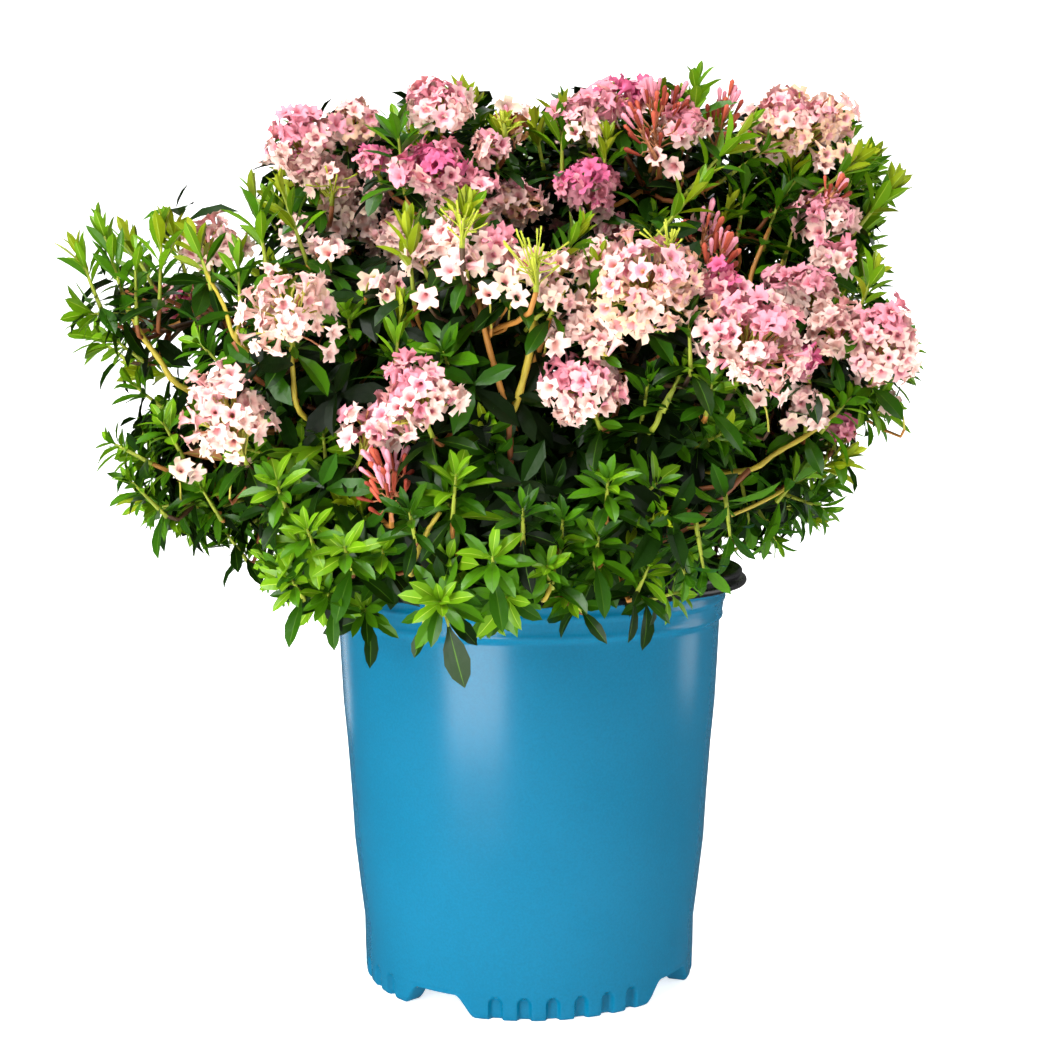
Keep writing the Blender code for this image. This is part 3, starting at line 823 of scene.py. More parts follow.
def makeBlossom():
    made = []
    shape, quads, band = flowerShape()
    rows = {key: np.concatenate([row[key] for row in flowerRows]) for key in flowerRows[0]}
    count = len(rows["centre"])
    parts = int(np.ceil(count * 120 / 185000))
    order = np.argsort(rows["centre"][:, 0], kind="stable")
    for part, chosen in enumerate(np.array_split(order, parts)):
        row = {key: value[chosen] for key, value in rows.items()}
        n = len(chosen)
        z = row["facing"]
        least = np.eye(3)[np.argmin(np.abs(z), axis=1)]
        x = unit(np.cross(z, least))
        y = np.cross(z, x)
        spin = dice.uniform(0, 6.28, n)[:, None]
        x, y = x * np.cos(spin) + y * np.sin(spin), y * np.cos(spin) - x * np.sin(spin)
        # each flower is the shape with its lobes a little uneven and more or less open
        local = np.broadcast_to(shape, (n, *shape.shape)).copy()
        ring = np.arange(len(shape)) // (flower["lobes"] * flower["steps"])
        local += dice.normal(0, 1, local.shape) * np.array([0, 0, 0.03, 0.075])[ring][None, :, None]
        open_ = dice.uniform(0.80, 1.08, (n, 1))
        outer = ring >= 2
        local[:, outer, :2] *= open_[..., None]
        local[:, outer, 2] += (1 - open_) * 1.1
        local *= row["scale"][:, None, None]
        points = row["centre"][:, None] + local[..., 0:1] * x[:, None] + local[..., 1:2] * y[:, None] + local[..., 2:3] * z[:, None]
        shift = np.arange(n)[:, None, None] * len(shape)
        number = np.choose(band[None], [row["tube"][:, None], throatNumber[row["petal"]][:, None], row["petal"][:, None]])
        pile = Pile()
        pile.add(points.reshape(-1, 3), [(quads[None] + shift).reshape(-1, 4)], [number.ravel()])
        thing = pile.build(f"blossom_{part + 1}", petalMaterials)
        made.append(settle(thing, "foliage", *foliageNodes))
    say(count, "flowers")
    row = {key: np.concatenate([r[key] for r in budRows]) for key in budRows[0]}
    t = np.array([0.0, 0.25, 0.60, 0.86, 1.0])
    lines = row["base"][:, None] + row["along"][:, None] * (row["size"][:, None] * t)[..., None]
    thick = row["size"][:, None] * np.array([0.06, 0.09, 0.13, 0.15, 0.05])
    points, quads, caps = tubes(lines, thick, 6)
    per = len(quads) // len(lines)
    pile = Pile()
    pile.add(points, [quads, caps], [np.repeat(row["petal"], per), np.tile(row["petal"], 2)])
    thing = pile.build("flower_buds", petalMaterials)
    made.append(settle(thing, "foliage", *foliageNodes))
    return made


def makeStalks():
    # lines of four points are the stalks of flowers and leaves, longer ones the twigs
    for name, wanted in (("flower_stalks", lambda m: m == 4), ("twigs", lambda m: m > 4)):
        pile = Pile()
        for m, rows in sorted(stemRows.items()):
            if not wanted(m):
                continue
            lines = np.concatenate([r[0] for r in rows])
            radii = np.concatenate([r[1] for r in rows])
            number = np.concatenate([r[2] for r in rows])
            sides = 3 if m == 4 else (5 if m < 12 else 8)
            points, quads, caps = tubes(lines, radii, sides)
            pile.add(points, [quads, caps], [np.repeat(number, (m - 1) * sides), np.tile(number, 2)])
        settle(pile.build(name, stalkMaterials), "foliage", *foliageNodes)


# where shoots and trusses stand

def onSkin(u, v):
    # the place and mass where a pixel's ray meets the crown, or comes nearest to it
    start, ray = np.array(view["place"]), pixelRay(u, v)
    hit, normal, index, _ = skinTree.ray_cast(Vector(start), Vector(ray))
    if hit is None:
        steps = np.linspace(0.70, 1.10, 41)
        found = [skinTree.find_nearest(Vector(start + ray * s)) for s in steps]
        best = int(np.argmin([f[3] for f in found]))
        hit, normal, index = Vector(start + ray * steps[best]), found[best][1], found[best][2]
    return np.array(hit), np.array(normal), int(skinOwner[index])


shownTrusses = [
    # pixel across and down, width and height in pixels, palette, fill, and how far it stands forward in mm
    (441, 106, 66, 60, "pink", 1.0, 0), (304, 144, 72, 78, "pink", 1.0, 0), (356, 126, 56, 54, "peach", 1.0, 0),
    (328, 182, 60, 54, "blush", 0.9, 0), (374, 164, 38, 38, "bright", 0.9, 0), (428, 168, 84, 46, "bright", 0.9, 0),
    (364, 218, 82, 76, "cream", 1.0, 0), (402, 240, 56, 56, "blush", 0.9, 0), (289, 314, 104, 92, "cream", 0.55, 0),
    (212, 248, 66, 66, "blush", 0.55, 0), (588, 190, 66, 64, "bright", 1.0, 0), (476, 194, 62, 56, "pink", 0.9, 0),
    (516, 204, 60, 58, "peach", 0.9, 0), (584, 118, 70, 58, "pink", 0.9, 0), (616, 100, 52, 46, "bright", 0.9, 0),
    (640, 94, 36, 34, "magenta", 0.7, 0), (684, 126, 54, 46, "pink", 0.8, 0),
    (646, 285, 112, 92, "peach", 1.0, 0), (719, 284, 46, 50, "bright", 1.0, 0), (580, 322, 66, 52, "cream", 0.75, 0),
    (586, 392, 86, 86, "pink", 1.0, 0), (752, 344, 108, 112, "pink", 1.0, 3), (800, 130, 102, 78, "peach", 1.0, 0),
    (825, 214, 60, 54, "pink", 1.0, 0), (830, 256, 46, 44, "pink", 0.8, 0), (812, 292, 58, 60, "pink", 0.9, 0),
    (880, 348, 72, 104, "pink", 1.0, 0), (836, 328, 60, 66, "blush", 0.9, 0), (806, 362, 34, 46, "magenta", 0.9, 0),
    (806, 412, 44, 46, "blush", 0.8, 0), (838, 432, 38, 32, "bright", 0.7, 0), (229, 420, 88, 116, "blush", 0.75, 3),
    (418, 402, 80, 88, "pink", 1.0, 0), (372, 433, 62, 74, "pink", 0.75, 14), (520, 268, 66, 56, "blush", 0.6, 0),
    (452, 236, 56, 50, "blush", 0.7, 0), (602, 262, 56, 50, "blush", 0.8, 0), (704, 232, 40, 36, "pink", 0.5, 0),
    (508, 128, 40, 36, "dried", 0.5, 0), (520, 118, 34, 30, "cream", 0.4, 0), (488, 148, 46, 40, "pink", 0.7, 0),
    (298, 232, 46, 38, "blush", 0.6, 0), (390, 286, 40, 30, "blush", 0.4, 0), (600, 342, 44, 36, "blush", 0.6, 0),
    (556, 300, 40, 34, "cream", 0.5, 0), (442, 208, 50, 40, "blush", 0.7, 0), (330, 250, 40, 34, "blush", 0.5, 0),
    (494, 246, 44, 36, "pink", 0.7, 0), (560, 268, 46, 40, "cream", 0.7, 0), (612, 232, 46, 40, "pink", 0.8, 0),
    (466, 262, 40, 34, "blush", 0.6, 0), (790, 286, 52, 50, "pink", 0.8, 0), (474, 218, 56, 40, "blush", 0.8, 0), (538, 236, 50, 42, "blush", 0.7, 0), (420, 258, 44, 36, "cream", 0.6, 0),
]
shownBuds = [
    # pixel, spread in pixels, count, degrees from upright
    (654, 112, 62, 26, -4), (724, 118, 58, 22, 16), (704, 232, 60, 18, 10), (722, 252, 46, 14, 20), (838, 186, 30, 9, 30),
    (382, 470, 50, 18, -30), (768, 240, 22, 4, 60), (386, 486, 46, 12, -10), (508, 122, 30, 5, -15), (400, 462, 34, 9, 20),
    (676, 104, 40, 12, 24), (640, 128, 44, 12, -30),
]
shownFlowers = [
    # pixel of single flowers, palette
    (369, 284, "cream"), (394, 279, "blush"), (425, 298, "blush"), (559, 226, "pink"), (579, 240, "pink"),
    (616, 236, "bright"), (597, 248, "pink"), (507, 280, "blush"), (488, 292, "blush"), (519, 297, "cream"),
    (655, 156, "blush"), (673, 168, "blush"), (757, 398, "blush"), (889, 402, "pink"), (182, 468, "cream"),
    (196, 474, "cream"), (826, 164, "blush"), (558, 346, "cream"), (548, 388, "blush"), (244, 462, "blush"),
    (508, 108, "cream"), (388, 262, "cream"), (448, 268, "blush"), (470, 222, "pink"), (640, 330, "blush"),
]
shownShoots = [
    # pixel of the foot of its leaves, degrees from upright, facing the camera 0 to 1, run of leaves and leaf in mm, kind
    (493, 566, 0, 0.80, 8, 20, "rosette"), (607, 496, 0, 0.70, 10, 17, "rosette"), (454, 500, 6, 0.55, 14, 21, "rosette"),
    (597, 550, 4, 0.75, 10, 19, "rosette"), (548, 574, -6, 0.85, 8, 14, "rosette"), (441, 604, 0, 0.93, 5, 21, "rosette"),
    (642, 582, 20, 0.55, 10, 15, "rosette"), (710, 396, 5, 0.70, 8, 14, "rosette"), (325, 454, 0, 0.60, 12, 20, "rosette"),
    (348, 558, -10, 0.75, 9, 20, "rosette"), (366, 612, -5, 0.90, 5, 17, "rosette"), (297, 588, -20, 0.75, 8, 17, "rosette"),
    (236, 546, -30, 0.50, 12, 18, "rosette"), (330, 598, -10, 0.85, 7, 16, "rosette"), (172, 438, -25, 0.45, 12, 18, "rosette"),
    (150, 500, -40, 0.35, 14, 19, "rosette"), (690, 350, -4, 0.35, 16, 20, "darkShoot"), (523, 524, 0, 0.70, 10, 17, "darkShoot"),
    (412, 524, -8, 0.70, 9, 17, "darkShoot"), (384, 558, -4, 0.80, 8, 17, "rosette"), (282, 498, -15, 0.60, 10, 19, "rosette"),
    (210, 502, -25, 0.50, 10, 18, "rosette"), (312, 542, -12, 0.70, 9, 19, "rosette"), (562, 532, 2, 0.70, 9, 15, "darkShoot"),
    (160, 284, 4, 0.10, 28, 22, "upright"), (92, 286, -20, 0.10, 18, 20, "upright"), (136, 300, 2, 0.15, 24, 20, "darkShoot"),
    (264, 252, -8, 0.15, 28, 21, "upright"), (300, 242, -18, 0.20, 28, 19, "upright"), (284, 222, -30, 0.15, 12, 17, "upright"),
    (402, 168, -6, 0.15, 20, 23, "darkShoot"), (412, 278, -4, 0.25, 24, 20, "upright"), (430, 232, -20, 0.20, 18, 21, "upright"),
    (562, 158, 0, 0.15, 24, 20, "upright"), (604, 172, 4, 0.20, 16, 17, "upright"), (540, 150, -12, 0.15, 14, 15, "upright"),
    (694, 120, 4, 0.15, 18, 21, "darkShoot"), (700, 178, 42, 0.20, 36, 20, "upright"), (664, 228, 40, 0.25, 30, 19, "upright"),
    (714, 238, 24, 0.25, 18, 18, "upright"), (868, 216, 38, 0.10, 20, 21, "upright"), (588, 302, 14, 0.25, 20, 18, "upright"),
    (860, 308, 20, 0.10, 20, 19, "upright"), (834, 180, 48, 0.15, 18, 18, "upright"), (790, 182, 0, 0.30, 16, 18, "upright"),
    (548, 250, -16, 0.25, 22, 19, "upright"), (740, 168, 55, 0.20, 16, 19, "darkShoot"), (770, 192, -20, 0.20, 14, 17, "darkShoot"),
    (100, 314, -88, 0.10, 6, 21, "darkShoot"), (150, 398, -50, 0.20, 12, 18, "darkShoot"), (130, 452, -60, 0.20, 10, 17, "rosette"),
    (500, 152, 10, 0.25, 14, 15, "upright"), (818, 470, 60, 0.30, 16, 18, "upright"), (828, 442, 50, 0.30, 12, 17, "rosette"),
    (800, 500, 110, 0.30, 14, 18, "darkShoot"), (764, 520, 150, 0.30, 12, 20, "darkShoot"), (728, 520, 175, 0.35, 12, 22, "hanging"),
    (700, 548, 172, 0.35, 12, 20, "hanging"), (678, 556, 160, 0.45, 12, 19, "hanging"), (745, 500, 170, 0.30, 12, 22, "hanging"),
    (430, 214, -32, 0.20, 20, 22, "upright"), (458, 240, 18, 0.20, 16, 18, "upright"), (560, 266, 28, 0.20, 18, 18, "upright"),
    (772, 222, -10, 0.35, 14, 19, "darkShoot"), (756, 246, 20, 0.45, 12, 18, "darkShoot"), (792, 206, 30, 0.35, 12, 18, "darkShoot"),
    (738, 548, 60, 0.40, 10, 16, "darkShoot"), (664, 596, 70, 0.55, 8, 16, "rosette"), (572, 600, -40, 0.70, 8, 15, "rosette"),
    (447, 620, 166, 0.20, 3, 29, "tail"), (424, 622, -168, 0.25, 3, 19, "tail"),
]
shownStems = [
    # pixels along a stem from its foot with their depth y in mm, radius in mm at both ends, colour,
    # and the shoot at its end: kind, run and leaf in mm, or nothing
    ((511, 520, -128), (511, 478, -140), (509, 414, -152), 1.6, 1.5, "redStem", None),
    ((508, 414, -152), (497, 375, -156), (486, 336, -158), (472, 270, -154), 1.6, 1.2, "tanStem", ("upright", 26, 22)),
    ((511, 414, -152), (518, 398, -154), (530, 352, -157), (534, 316, -155), 1.8, 1.5, "goldStem", None),
    ((534, 320, -155), (514, 300, -156), (496, 284, -154), 1.1, 0.9, "shootGreen", ("upright", 26, 21)),
    ((534, 320, -155), (552, 308, -150), (574, 294, -140), 1.1, 0.9, "shootGreen", ("upright", 22, 19)),
    ((643, 544, -140), (684, 529, -138), (712, 506, -128), (749, 470, -108), 1.7, 1.4, "redStem", None),
    ((749, 470, -108), (776, 453, -100), (806, 436, -94), (836, 414, -90), 1.4, 1.0, "goldStem", ("rosette", 12, 16)),
    ((684, 528, -138), (722, 519, -124), (766, 500, -104), (790, 486, -92), 1.0, 0.8, "goldStem", ("upright", 14, 17)),
    ((180, 386, -62), (160, 360, -64), (140, 332, -66), (122, 292, -68), 1.6, 1.2, "goldStem", ("upright", 34, 22)),
    ((238, 342, -130), (224, 306, -116), (206, 272, -92), 1.1, 0.9, "goldStem", ("upright", 28, 20)),
    ((238, 342, -130), (241, 320, -124), (240, 300, -118), 1.1, 0.9, "goldStem", ("upright", 26, 19)),
    ((300, 412, -134), (293, 372, -142), (291, 336, -142), 1.4, 1.0, "goldStem", None),
    ((258, 380, -140), (246, 360, -142), (233, 342, -142), 1.2, 1.0, "redStem", None),
    ((652, 430, -146), (662, 408, -150), (674, 388, -152), 1.3, 1.1, "shootGreen", ("rosette", 12, 15)),
    ((410, 572, -156), (426, 534, -160), (440, 512, -162), 1.2, 1.0, "goldStem", None),
    ((544, 600, -152), (552, 582, -156), (558, 564, -158), 1.1, 0.9, "goldStem", ("rosette", 8, 14)),
    ((394, 424, -140), (392, 394, -146), (396, 360, -150), 1.2, 1.0, "goldStem", ("upright", 24, 19)),
    ((742, 306, -74), (752, 272, -66), (762, 246, -62), (770, 228, -60), 1.3, 1.0, "tanStem", ("darkShoot", 18, 20)),
    ((772, 292, -66), (782, 264, -60), (788, 248, -58), 1.1, 0.9, "goldStem", ("darkShoot", 16, 19)),
    ((738, 268, -56), (736, 244, -58), (740, 222, -58), 1.1, 0.9, "tanStem", ("darkShoot", 18, 20)),
    ((756, 232, -50), (770, 212, -52), (784, 198, -52), 1.2, 0.9, "redStem", ("darkShoot", 16, 19)),
]
bareTrusses = [
    # pixel of the foot, height in pixels, stalks, degrees from upright: trusses whose flowers have fallen
    (536, 292, 64, 34, 2), (332, 206, 44, 18, 5), (506, 140, 34, 14, -10), (462, 248, 50, 20, 4), (668, 262, 44, 14, 8),
]
shootKinds = {  # spread in degrees off the shoot, widths as shares of lengths, tone and top are places in the list of greens
    "rosette": {"count": 14, "spread": (80, 18), "width": 0.34, "arch": 0.50, "fold": 0.26, "tone": 3.2, "top": 4},
    "upright": {"count": 14, "spread": (48, 10), "width": 0.28, "arch": 0.12, "fold": 0.50, "tone": 4.0, "top": 6},
    "darkShoot": {"count": 12, "spread": (64, 18), "width": 0.30, "arch": 0.30, "fold": 0.36, "tone": 2.2, "top": 4},
    "tail": {"count": 1, "spread": (4, 4), "width": 0.44, "arch": 0.25, "fold": 0.24, "tone": 1.5, "top": 2, "first": np.array([0, 1.0, 0])},
    "hanging": {"count": 8, "spread": (58, 20), "width": 0.32, "arch": 0.30, "fold": 0.30, "tone": 1.3, "top": 3},
}

growth = {name: [] for name in foliageNodes}  # for each mass, its shoots' feet, directions and radii
taken = []  # what keeps chance shoots off: place, radius in metres, pixel across and down, pixel radius, depth


def hold(place, radius, pixels=0.0):
    u, v, depth = toPixels(place)
    taken.append((place, radius, float(u), float(v), pixels, float(depth)))


def pictureDirection(lean, facing):
    # upright leaning by an angle in the picture, turned towards the camera by a share
    a = math.radians(lean)
    flat = np.array([math.sin(a), 0, math.cos(a)])
    return unit(flat * math.sqrt(max(1 - facing**2, 0.0)) + np.array([0, -1, 0.0]) * facing)


def pixelSize(place):
    # metres to a pixel at a place's depth
    return float(toPixels(place)[2]) / (view["lens"] / 36 * view["pixels"])


def paintedLightAndShadeAt(p):
    # painted light and shade: how much lighter than its kind a spray is; the left and the top are painted light, where
    # the key and top lamps fall, and the middle of the front is painted dark, where the crown is in shade
    left, top = ramp(-p[0], 0.04, 0.14), ramp(p[2], 0.32, 0.40)
    middle = math.exp(-(((p[2] - 0.303) / 0.044) ** 2)) * ramp(p[0], -0.09, -0.02) * (1 - ramp(p[0], 0.10, 0.16))
    return float(0.5 * left + (0.3 + 0.5 * left) * top - 1.7 * middle * (p[1] < 0))


def youngShoot(foot, axis, kind, length, run, lighter):
    # a shoot's leaves on its green stem, over a whorl of last year's leaves
    # lighter shifts all its greens, also those of the old whorl below; for sprays whose lighter is set by their place
    # in the crown, it is painted light and shade
    look = shootKinds[kind]
    count = look["count"] + (int(dice.integers(-2, 2)) if look["count"] > 5 else 0)
    whorl(foot, axis, "young", count, length, look["spread"], run, look["tone"] + lighter, look["width"], look["arch"], look["fold"], look["top"], look.get("first"))
    line = bezier([[foot - axis * 0.012, foot - axis * 0.006, foot, foot + axis * run]], 5)
    addLines(line, np.array([0.0012, 0.0011, 0.0010, 0.0008, 0.0005]), stalkNumber["shootGreen"])
    behind = foot - axis * 0.011
    if kind == "tail":
        return behind
    whorl(behind, axis, "old", int(dice.integers(5, 8)), 0.0245, (104, 70), 0.006, 1.5 + lighter * 0.9, width=0.33, arch=0.5)
    return behind


def placeShown():
    for u, v, wide, tall, palette, fill, ahead in shownTrusses:
        place, normal, mass = onSkin(u, v)
        w, t = 0.54 * wide * pixelSize(place), 0.53 * tall * pixelSize(place)
        centre = place - pixelRay(u, v) * (0.009 + ahead / 1000)
        axis = unit(np.array([normal[0] * 0.45, min(normal[1], 0.0) * 0.7, 0.85]))
        foot = truss(centre, axis, w, t, palette, fill)
        growth[foliageNodes[mass]].append((foot - axis * 0.003, axis, 0.0013))
        whorl(foot - axis * 0.006, axis, "old", 6, 0.024, (104, 78), 0.005, 1.8, arch=0.6)
        hold(centre, max(w, t), max(wide, tall) * 0.5)
    for u, v, wide, count, lean in shownBuds:
        place, normal, mass = onSkin(u, v)
        axis = pictureDirection(lean, 0.15)
        reach = wide * pixelSize(place)
        foot = place - pixelRay(u, v) * 0.017 - axis * reach * 0.6
        budSpray(foot, axis, count, reach * 1.2)
        growth[foliageNodes[mass]].append((foot, axis, 0.0012))
        hold(place, 0.012, wide * 0.5)
    for u, v, palette in shownFlowers:
        place, normal, mass = onSkin(u, v)
        ray = pixelRay(u, v)
        centre = place - ray * 0.010
        facing = unit(-ray * 0.7 + dice.normal(0, 0.3, 3) + [0, 0, 0.1])
        names, tube = palettes[palette]
        petal = petalNumber[names[int(dice.integers(1, len(names)))]]
        scale = flower["across"] / 2 * dice.uniform(1.0, 1.15)
        addFlowers(centre, centre[None], facing[None], np.array([scale]), np.array([petal]), np.array([petalNumber[tube]]))
        mouth = centre - facing * flower["tube"] * 0.97
        foot = mouth - facing * 0.008 - np.array([0, -0.004, 0.010])
        line = bezier([[foot, foot + [0, 0, 0.005], mouth - facing * 0.004, mouth]], 4)
        addLines(line, np.array([0.0006, 0.0005, 0.0005, 0.0006]), stalkNumber["pedicel"])
        growth[foliageNodes[mass]].append((foot, unit(mouth - foot), 0.0008))
        hold(centre, 0.006, 13)
    for u, v, tall, count, lean in bareTrusses:
        place, normal, mass = onSkin(u, v)
        foot = place - pixelRay(u, v) * 0.020
        axis = pictureDirection(lean, 0.2)
        out = unit(axis + dice.normal(0, 0.42, (count, 3)))
        ends = foot + out * tall * pixelSize(place) * dice.uniform(0.45, 1.0, (count, 1))
        start = foot + axis * dice.uniform(0, 0.5, (count, 1)) * tall * pixelSize(place)
        addLines(bezier(np.stack([start, start + axis * 0.003, ends - out * 0.004, ends], 1), 4), np.array([0.0005, 0.0004, 0.00035, 0.0006]), stalkNumber["barePedicel"])
        addLines(bezier([[foot, foot + axis * 0.004, foot + axis * 0.008, foot + axis * 0.5 * tall * pixelSize(place)]], 4), np.array([0.0014, 0.0013, 0.0011, 0.0008]), stalkNumber["shootGreen"])
        growth[foliageNodes[mass]].append((foot, axis, 0.0013))
        hold(foot + axis * tall * 0.5 * pixelSize(place), 0.010, tall * 0.4)
    for u, v, lean, facing, run, leaf, kind in shownShoots:
        place, normal, mass = onSkin(u, v)
        axis = pictureDirection(lean, facing)
        # a shoot that looks at the camera starts as far inside the skin as it reaches out
        foot = place + pixelRay(u, v) * (facing * (run + leaf * 0.5) / 1000 - 0.010)
        # a dark shoot's greens take the painted light and shade of its place in the crown
        behind = youngShoot(foot, axis, kind, leaf / 1000, run / 1000, paintedLightAndShadeAt(foot) * (kind == "darkShoot") + 0.3)
        growth[foliageNodes[mass]].append((behind, axis, 0.0012))
        hold(foot + axis * run / 2000, 0.011, leaf * (1.5 if facing > 0.5 else 1.0))
    for *pixels, thick, thin, colour, shoot in shownStems:
        line = []
        for u, v, y in pixels:
            ray = pixelRay(u, v)
            line.append(np.array(view["place"]) + ray * (y / 1000 - view["place"][1]) / ray[1])
        # the stem's foot runs on a little and sinks into the crown
        first = line[0] + unit(line[0] - line[1]) * 0.012 + unit(core - line[0]) * 0.022 + pixelRay(*pixels[0][:2]) * 0.022
        curve = bend(np.array([first, *line]), 16)
        wide = np.concatenate([[thick * 0.6], np.linspace(thick, thin, 15)]) / 1000
        wide = wide * (1 + 0.10 * np.cos(np.arange(16) * 2.4))
        addLines(curve[None], wide, stalkNumber[colour])
        mass = int(skinOwner[skinTree.find_nearest(Vector(line[0]))[2]])
        growth[foliageNodes[mass]].append((curve[0], unit(curve[1] - curve[0]), 0.0014))
        for k in range(4, 16, 3):
            hold(curve[k], 0.003, 7)
        if shoot:
            kind, run, leaf = shoot
            axis = unit(unit(curve[-1] - curve[-3]) + [0, 0, 0.35])
            youngShoot(curve[-1], axis, kind, leaf / 1000, run / 1000, 0.3)
            hold(curve[-1] + axis * run / 2000, 0.011, leaf)


randomGrowth = {
    "spacing": 0.0185,
    "tries": 11000,
    "trusses": 0.26,  # share of upper shoots that end in blossom, out of the camera's view
    "shownTrusses": 0.0,  # and in its view, beside those placed above
}


def outerPlaces(tries):
    # points spread over the solids' triangles by area, kept where nothing lies between them and the outside
    corner = skinPoints[skinTriangles]
    cross = np.cross(corner[:, 1] - corner[:, 0], corner[:, 2] - corner[:, 0])
    area = np.linalg.norm(cross, axis=1)
    chosen = dice.choice(len(area), tries, p=area / area.sum())
    a, b = dice.random(tries), dice.random(tries)
    flip = a + b > 1
    a, b = np.where(flip, 1 - a, a), np.where(flip, 1 - b, b)
    c = corner[chosen]
    points = c[:, 0] + a[:, None] * (c[:, 1] - c[:, 0]) + b[:, None] * (c[:, 2] - c[:, 0])
    normal = cross[chosen] / area[chosen][:, None]
    out = unit(points - core)
    kept = []
    for k in range(tries):
        hit = skinTree.ray_cast(Vector(core + out[k] * 0.5), Vector(-out[k]))[0]
        kept.append(hit is not None and (np.array(hit) - points[k]) @ (np.array(hit) - points[k]) < 0.007**2)
    kept = np.array(kept)
    return points[kept], normal[kept], skinOwner[chosen[kept]], out[kept]


def sparse(p):
    # the top of the crown's far left is open
    return p[0] < -0.125 and p[2] > 0.315


def placeRandom():
    points, normals, owners, outs = outerPlaces(randomGrowth["tries"])
    chosen = np.empty((0, 3))
    shown = np.array([t[0] for t in taken])
    radius = np.array([t[1] for t in taken])
    px = np.array([t[2:6] for t in taken])
    counts = {"shoots": 0, "trusses": 0}
    for k in range(len(points)):
        skin = points[k]
        spacing = randomGrowth["spacing"] * (2.1 if sparse(skin) else 1.0)
        if len(chosen) and np.min(((chosen - skin) ** 2).sum(1)) < spacing ** 2:
            continue
        out = unit(normals[k] * 0.5 + outs[k] * 0.7)
        height = float(ramp(skin[2], 0.24, 0.42))
        front = out[1] < 0.40
        axis = unit(out * mix(1.0, 0.65, height) + [0, 0, mix(0.35, 0.75, height)])
        kind = "rosette" if dice.random() < mix(0.9, 0.25, height) else ("upright" if dice.random() < 0.62 else "darkShoot")
        run = dice.uniform(0.008, 0.013) if kind == "rosette" else dice.uniform(0.014, 0.028)
        leaf = dice.uniform(0.018, 0.024)
        foot = skin - axis * (run + leaf * 0.62) * dice.uniform(0.75, 1.25)
        # along the shoot, nothing shown may be behind it
        steps = foot + axis * np.linspace(0, run + leaf * 0.7, 4)[:, None]
        u, v, depth = toPixels(steps)
        near = np.hypot(px[:, 0] - u[:, None], px[:, 1] - v[:, None]) < px[:, 2] + 11
        if np.any(near & (depth[:, None] < px[:, 3] + 0.004)):
            continue
        if np.any(((shown[:, None] - steps[None]) ** 2).sum(-1) < (radius[:, None] + 0.005) ** 2):
            continue
        chosen = np.concatenate([chosen, skin[None]])
        mass = foliageNodes[owners[k]]
        blooms = randomGrowth["shownTrusses"] if front else randomGrowth["trusses"]
        if dice.random() < blooms * ramp(skin[2], 0.25, 0.33):
            wide = dice.uniform(0.014, 0.021)
            palette = ("pink", "blush", "peach", "pink", "cream", "bright")[int(dice.integers(6))]
            stalk = truss(skin - out * wide * 0.6, axis, wide, wide * dice.uniform(0.85, 1.05), palette, dice.uniform(0.8, 1.0))
            whorl(stalk - axis * 0.004, axis, "old", 7, 0.025, (102, 72), 0.005, 1.8, arch=0.6)
            growth[mass].append((stalk - axis * 0.003, axis, 0.0013))
            chosen = np.concatenate([chosen, (skin + out * 0.012)[None]])
            counts["trusses"] += 1
            continue
        # the shoot's greens take the painted light and shade of its place in the crown
        growth[mass].append((youngShoot(foot, axis, kind, leaf, run, paintedLightAndShadeAt(foot)), axis, 0.0011))
        counts["shoots"] += 1
    say(counts)


innerGrowth = {"tries": 4500, "spacing": 0.0185, "depth": (0.018, 0.062)}


def placeInner():
    # whorls of old leaves inside the crown, coloured in the darkest greens as painted shade, which keep it dark and
    # close its gaps
    points, normals, owners, outs = outerPlaces(innerGrowth["tries"])
    chosen = np.empty((0, 3))
    for k in range(len(points)):
        out = unit(normals[k] * 0.4 + outs[k])
        place = points[k] - out * dice.uniform(*innerGrowth["depth"])
        if (place[2] < 0.222 and np.hypot(place[0], place[1]) < 0.122) or (sparse(place) and dice.random() < 0.85):
            continue
        if len(chosen) and np.min(((chosen - place) ** 2).sum(1)) < innerGrowth["spacing"] ** 2:
            continue
        chosen = np.concatenate([chosen, place[None]])
        axis = unit(out + [0, 0, 0.4])
        # the darkest greens, darker still in the middle of the front: painted shade
        whorl(place, axis, "inner", 9, 0.027, (112, 50), 0.016, 0.3 + min(paintedLightAndShadeAt(place), 0) * 0.3, width=0.40, arch=0.4)
        growth[foliageNodes[owners[k]]].append((place, axis, 0.0010))
    say(len(chosen), "inner whorls")


